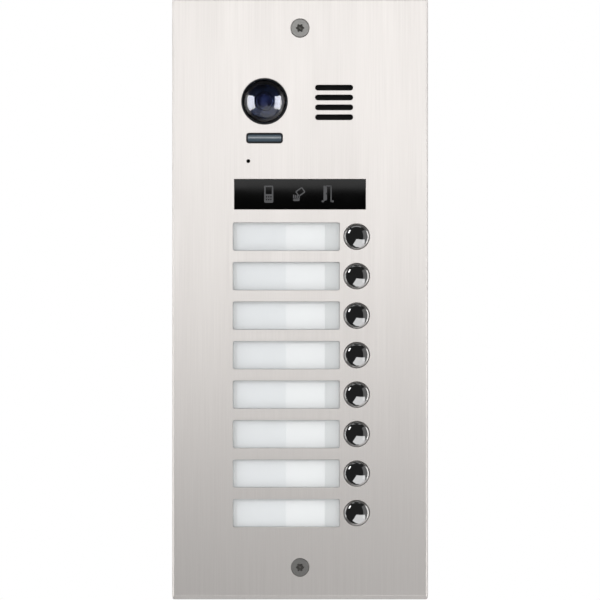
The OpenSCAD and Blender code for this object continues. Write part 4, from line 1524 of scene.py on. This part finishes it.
@dataclass
class RearCover:
    """The moulded cover with raised frames round its openings, and what shows through them.

    Attributes:
        edge: Rounding of the cover's edges.
        fitting_edge: Rounding of the fittings' edges.
        rib: Width of the ribs and the raised frames.
        rib_height: How far they stand out.
        rib_foot: How far they reach into the cover.
        rib_edge: Rounding of the ribs.
        frame_edge: Rounding of the raised frames.
        clearance: Gap between a fitting and the edge of its opening.
        cable_width: Width of the opening for the house's cable.
        cable_height: Height of that opening.
        rib_places: X of each rib.
        rib_reaches: Lowest and highest end of the ribs above and below the openings.
        fittings: What shows through the openings.
    """

    edge: float = 0.5 * MM
    fitting_edge: float = 0.12 * MM
    rib: float = 1.2 * MM
    rib_height: float = 0.8 * MM
    rib_foot: float = 0.1 * MM
    rib_edge: float = 0.3 * MM
    frame_edge: float = 0.25 * MM
    clearance: float = 1.6 * MM
    cable_width: float = 50 * MM
    cable_height: float = 18 * MM
    rib_places: tuple[float, ...] = (-38 * MM, -19 * MM, 0.0, 19 * MM, 38 * MM)
    rib_reaches: tuple[tuple[float, float], ...] = ((20 * MM, 122 * MM), (-122 * MM, -106 * MM))
    fittings: tuple[Fitting, ...] = (
        Fitting("terminal_block", "screw_terminals", TERMINAL, "terminal_green"),
        Fitting("dip_housing", "option_switch", DIP_RED, "dip_red"),
        Fitting("trimmer_body", "volume_trimmer", BLUE, "trimmer_blue"),
        Fitting("volume_dial", "volume_knob", IVORY, "slider_white", "volume"),
        Fitting("tamper_switch", "tamper_case", BLACK, "switch_black"),
        Fitting("tamper_plunger", "tamper_pin", IVORY, "slider_white", "tamper"),
        Fitting("dip_slider_1", "option_slider_1", IVORY, "slider_white", "dip_1"),
        Fitting("dip_slider_2", "option_slider_2", IVORY, "slider_white", "dip_2"),
        Fitting("terminal_screws", "terminal_screw_heads", ZINC, "stud_steel"),
    )

    def build(self) -> None:
        """Makes the cover, its raised frames and ribs, and the fittings inside it."""
        cover = softened("rear_cover", "moulded_cover", self.edge)
        dress(cover, COVER, "panel", "cover_black", "rear_cover")
        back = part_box("rear_cover")[1].y
        for name, (low, high) in self.framed().items():
            dress(self.frame_round(name, low, high, back), COVER, "panel", "cover_black")
        dress(self.ribs(back), COVER, "panel", "cover_black")
        for fitting in self.fittings:
            piece = softened(fitting.node, fitting.name, self.fitting_edge)
            dress(piece, fitting.finish, fitting.body, fitting.slot, fitting.node)

    def framed(self) -> dict[str, tuple[Vector, Vector]]:
        """Says what the raised frames go round.

        Returns:
            Name of each frame, with the lowest and highest corner of what it frames.
        """
        cable = Vector((self.cable_width / 2 - self.clearance, 0,
                        self.cable_height / 2 - self.clearance))
        centre = Vector((0, 0, (middle("terminal_block").z + middle("dip_housing").z) / 2))
        return {"frame_round_terminal_block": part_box("terminal_block"),
                "frame_round_dip_housing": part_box("dip_housing"),
                "frame_round_cable_mouth": (centre - cable, centre + cable)}

    def frame_round(self, name: str, low: Vector, high: Vector,
                    back: float) -> bpy.types.Object:
        """Makes a low raised frame on the cover's back, a clearance round what it frames.

        Args:
            name: Name of the piece.
            low: Lowest corner of what it frames.
            high: Highest corner of what it frames.
            back: Y of the cover's back.

        Returns:
            The frame.
        """
        reach = self.clearance
        piece = block(name, (low.x - reach - self.rib, back - self.rib_foot,
                             low.z - reach - self.rib),
                      (high.x + reach + self.rib, back + self.rib_height,
                       high.z + reach + self.rib))
        cut(piece, block("frame_cut", (low.x - reach, back - 1 * MM, low.z - reach),
                         (high.x + reach, back + 2 * MM, high.z + reach)))
        return eased(piece, self.frame_edge)

    def ribs(self, back: float) -> bpy.types.Object:
        """Moulds the upright ribs that stiffen the cover's back above and below the openings.

        Args:
            back: Y of the cover's back.

        Returns:
            The ribs, as one piece.
        """
        bars = []
        for z0, z1 in self.rib_reaches:
            for x in self.rib_places:
                bar = block("cover_rib", (x - self.rib / 2, back - self.rib_foot, z0),
                            (x + self.rib / 2, back + self.rib_height, z1))
                bars.append(eased(bar, self.rib_edge, 3))
        return joined("cover_ribs", bars)


@dataclass
class Insides:
    """The fixed parts behind the plate that keep their shape and get their finish."""

    finishes: dict[str, Finish] = field(default_factory=lambda: {
        "screw_retainers": RUBBER, "camera_housing": BRACKET, "camera_board": BOARD,
        "light_board": BOARD, "light_lamps": LAMP, "speaker_membrane": CLOTH,
        "speaker_frame": SPEAKER, "speaker_cone": CONE, "speaker_magnet": MAGNET,
        "mic_boot": RUBBER, "mic_capsule": FELT, "upper_bracket": BRACKET,
        "reader_board": BOARD, "button_guides": GUIDE, "keypad_board": BOARD,
        "keypad_switches": BLACK, "main_board": BOARD, "board_screws": ZINC})

    def build(self) -> None:
        """Dresses each of them."""
        for node, finish in self.finishes.items():
            keep(node, finish)


# ---------------------------------------------------------------- the studio


class Aim(Enum):
    """Which pieces a lamp lights: those it names, or all but the plate."""

    ALL = ()
    PLATE = ("front_plate", "fixing_screw_top", "fixing_screw_bottom")
    DOME = ("clear_dome",)
    BAR = ("light_bar",)
    GLOSS = ("clear_dome", "chrome_button_1", "chrome_button_2", "chrome_button_3",
             "chrome_button_4", "chrome_button_5", "chrome_button_6", "chrome_button_7",
             "chrome_button_8")
    BUTTONS = GLOSS[1:]
    MIRRORS = GLOSS + PLATE
    NOT_PLATE = PLATE + GLOSS


@dataclass
class Softbox:
    """One soft lamp: where it stands, its size, how bright its face is and what it lights.

    Attributes:
        name: Name of the lamp.
        place: Its centre.
        width: Its width.
        height: Its height.
        glow: Brightness of its face, where 1 looks white.
        target: The point that it faces.
        aim: Which pieces it lights.
    """

    name: str
    place: Place
    width: float
    height: float
    glow: float
    target: Place = (0.0, 0.0, 0.0)
    aim: Aim = Aim.ALL

    def build(self) -> None:
        """Adds the lamp, turned to its target and hidden from the camera itself."""
        data = bpy.data.lights.new(self.name, "AREA")
        data.shape, data.size, data.size_y = "RECTANGLE", self.width, self.height
        data.energy = self.glow * math.pi * self.width * self.height
        lamp = bpy.data.objects.new(self.name, data)
        lamp.location = self.place
        lamp.rotation_euler = (Vector(self.target) - Vector(self.place)).to_track_quat(
            "-Z", "Y").to_euler()
        lamp.visible_camera = False
        bpy.context.scene.collection.objects.link(lamp)
        if self.aim is not Aim.ALL:
            lamp.light_linking.receiver_collection = self.receivers()

    def receivers(self) -> bpy.types.Collection:
        """Returns the collection that says which pieces the lamp lights or leaves out.

        Returns:
            The collection.
        """
        group = bpy.data.collections.new(self.name + "_lights")
        for name in self.aim.value:
            group.objects.link(bpy.data.objects[name])
        if self.aim is Aim.NOT_PLATE:
            for link in group.collection_objects:
                link.light_linking.link_state = "EXCLUDE"
        return group


@dataclass
class Studio:
    """A white studio: long-lens camera, pale floor, soft lamps and a pale world.

    Attributes:
        lens_mm: The camera's focal length.
        sensor_mm: Width of the camera's sensor.
        frame_height: Height that the picture covers at the plate's face.
        centre_z: Height of the picture's middle.
        floor_gap: Distance from the panel down to the floor.
        floor_side: How far the floor reaches to each side.
        floor_near: Y of its near edge.
        floor_far: Y of its far edge.
        fill: Soft light of the world on matte surfaces, where 1 is the white backdrop.
        gloss: Light of the world that glossy surfaces mirror.
        lamps: The lamps.
    """

    lens_mm: float = 200.0
    sensor_mm: float = 36.0
    frame_height: float = 0.328125
    centre_z: float = -1.26 * MM
    floor_gap: float = 0.05
    floor_side: float = 0.7
    floor_near: float = -0.9
    floor_far: float = 0.25
    fill: float = 0.86
    gloss: float = 0.02
    lamps: tuple[Softbox, ...] = (
        Softbox("plate_softbox", (0.1, -1.2, 0.24), 2.7, 0.68, 1.92, (0.1, 0.0, 0.24), Aim.PLATE),
        Softbox("floor_bounce", (0.0, -1.1, -0.75), 3.0, 0.5, 0.8, aim=Aim.PLATE),
        Softbox("left_strip", (-1.2, -0.2, 0.0), 0.7, 1.4, 2.4, aim=Aim.PLATE),
        Softbox("right_strip", (1.2, -0.2, 0.0), 0.7, 1.4, 2.4, aim=Aim.PLATE),
        Softbox("key_softbox", (-0.1, -1.8, 0.7), 1.7, 1.2, 1.56, aim=Aim.NOT_PLATE),
        Softbox("bar_softbox", (0.0, -2.0, 0.3), 1.6, 0.22, 9.0, (0.0, 0.0, 0.087), Aim.BAR),
        Softbox("glint_softbox", (-1.13, -0.47, 0.86), 0.26, 0.55, 2.5, aim=Aim.BUTTONS),
        Softbox("table_reflector", (0.38, -0.55, -0.85), 1.6, 1.4, 0.85, (0.03, 0.0, -0.04),
                Aim.MIRRORS),
        Softbox("side_reflector", (1.0, -0.25, 0.0), 0.9, 1.8, 0.14, aim=Aim.BUTTONS),
        Softbox("ceiling_reflector", (0.0, 0.02, 0.8), 0.8, 0.3, 0.35, aim=Aim.BUTTONS),
        Softbox("left_window", (-1.0, -0.25, 0.03), 0.9, 1.05, 9.0, (0.0, 0.0, 0.107),
                Aim.DOME),
        Softbox("right_window", (1.0, -0.25, 0.03), 0.9, 1.05, 9.0, (0.0, 0.0, 0.107),
                Aim.DOME),
        Softbox("rear_softbox", (0.5, 1.4, 0.9), 1.0, 0.8, 14.0),
        Softbox("rear_reflector", (-1.0, 1.1, 0.1), 0.9, 1.4, 3.0),
    )

    def build(self) -> None:
        """Adds the camera, the floor, the lamps and the world."""
        self.camera()
        self.floor()
        for lamp in self.lamps:
            lamp.build()
        self.world()

    def camera(self) -> None:
        """Sets a long lens square to the plate, so that it sees the plate's face undistorted."""
        data = bpy.data.cameras.new("front_camera")
        data.lens, data.sensor_width = self.lens_mm, self.sensor_mm
        distance = self.lens_mm / self.sensor_mm * self.frame_height
        eye = bpy.data.objects.new("front_camera", data)
        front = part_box("faceplate")[0].y
        eye.location = (0, front - distance, self.centre_z)
        eye.rotation_euler = (math.pi / 2, 0, 0)
        data.clip_start, data.clip_end = 0.05, 20
        bpy.context.scene.collection.objects.link(eye)
        bpy.context.scene.camera = eye

    def floor(self) -> None:
        """Lays a pale board under the panel, short enough behind to stay out of the front view."""
        low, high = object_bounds()
        top = low.z - self.floor_gap
        floor = block("studio_floor", (-self.floor_side, self.floor_near, top - 0.01),
                      (self.floor_side, self.floor_far, top))
        floor.data.materials.append(WHITE_BOARD.material())
        floor.visible_glossy = False
        floor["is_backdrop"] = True

    def world(self) -> None:
        """Shows white behind the panel, and lights it softly with little to mirror."""
        world = bpy.data.worlds.new("studio")
        world.use_nodes = True
        bpy.context.scene.world = world
        tree = world.node_tree
        tree.nodes.clear()
        ray = add_node(tree, "LightPath")
        soft = add_node(tree, "Math", {0: ray.outputs["Is Diffuse Ray"], 1: self.fill,
                                       2: self.gloss}, operation="MULTIPLY_ADD")
        strength = add_node(tree, "Math", {0: ray.outputs["Is Camera Ray"], 1: soft.outputs[0]},
                            operation="MAXIMUM")
        glow = add_node(tree, "Background", {"Color": (1, 1, 1, 1),
                                             "Strength": strength.outputs[0]})
        add_node(tree, "OutputWorld", {"Surface": glow.outputs[0]})
        bpy.context.scene.view_settings.view_transform = "Standard"


def main() -> None:
    """Builds the panel's sub-assemblies in order, then the studio round them."""
    logging.basicConfig(level=logging.INFO, format="%(name)s: %(message)s")
    for part in (Plate(), FixingScrews(), Camera(), LightWindow(), StatusWindow(), CallRows(),
                 RearCover(), Insides()):
        log.info("building %s", type(part).__name__)
        part.build()
    Studio().build()


if __name__ == "__main__":
    main()
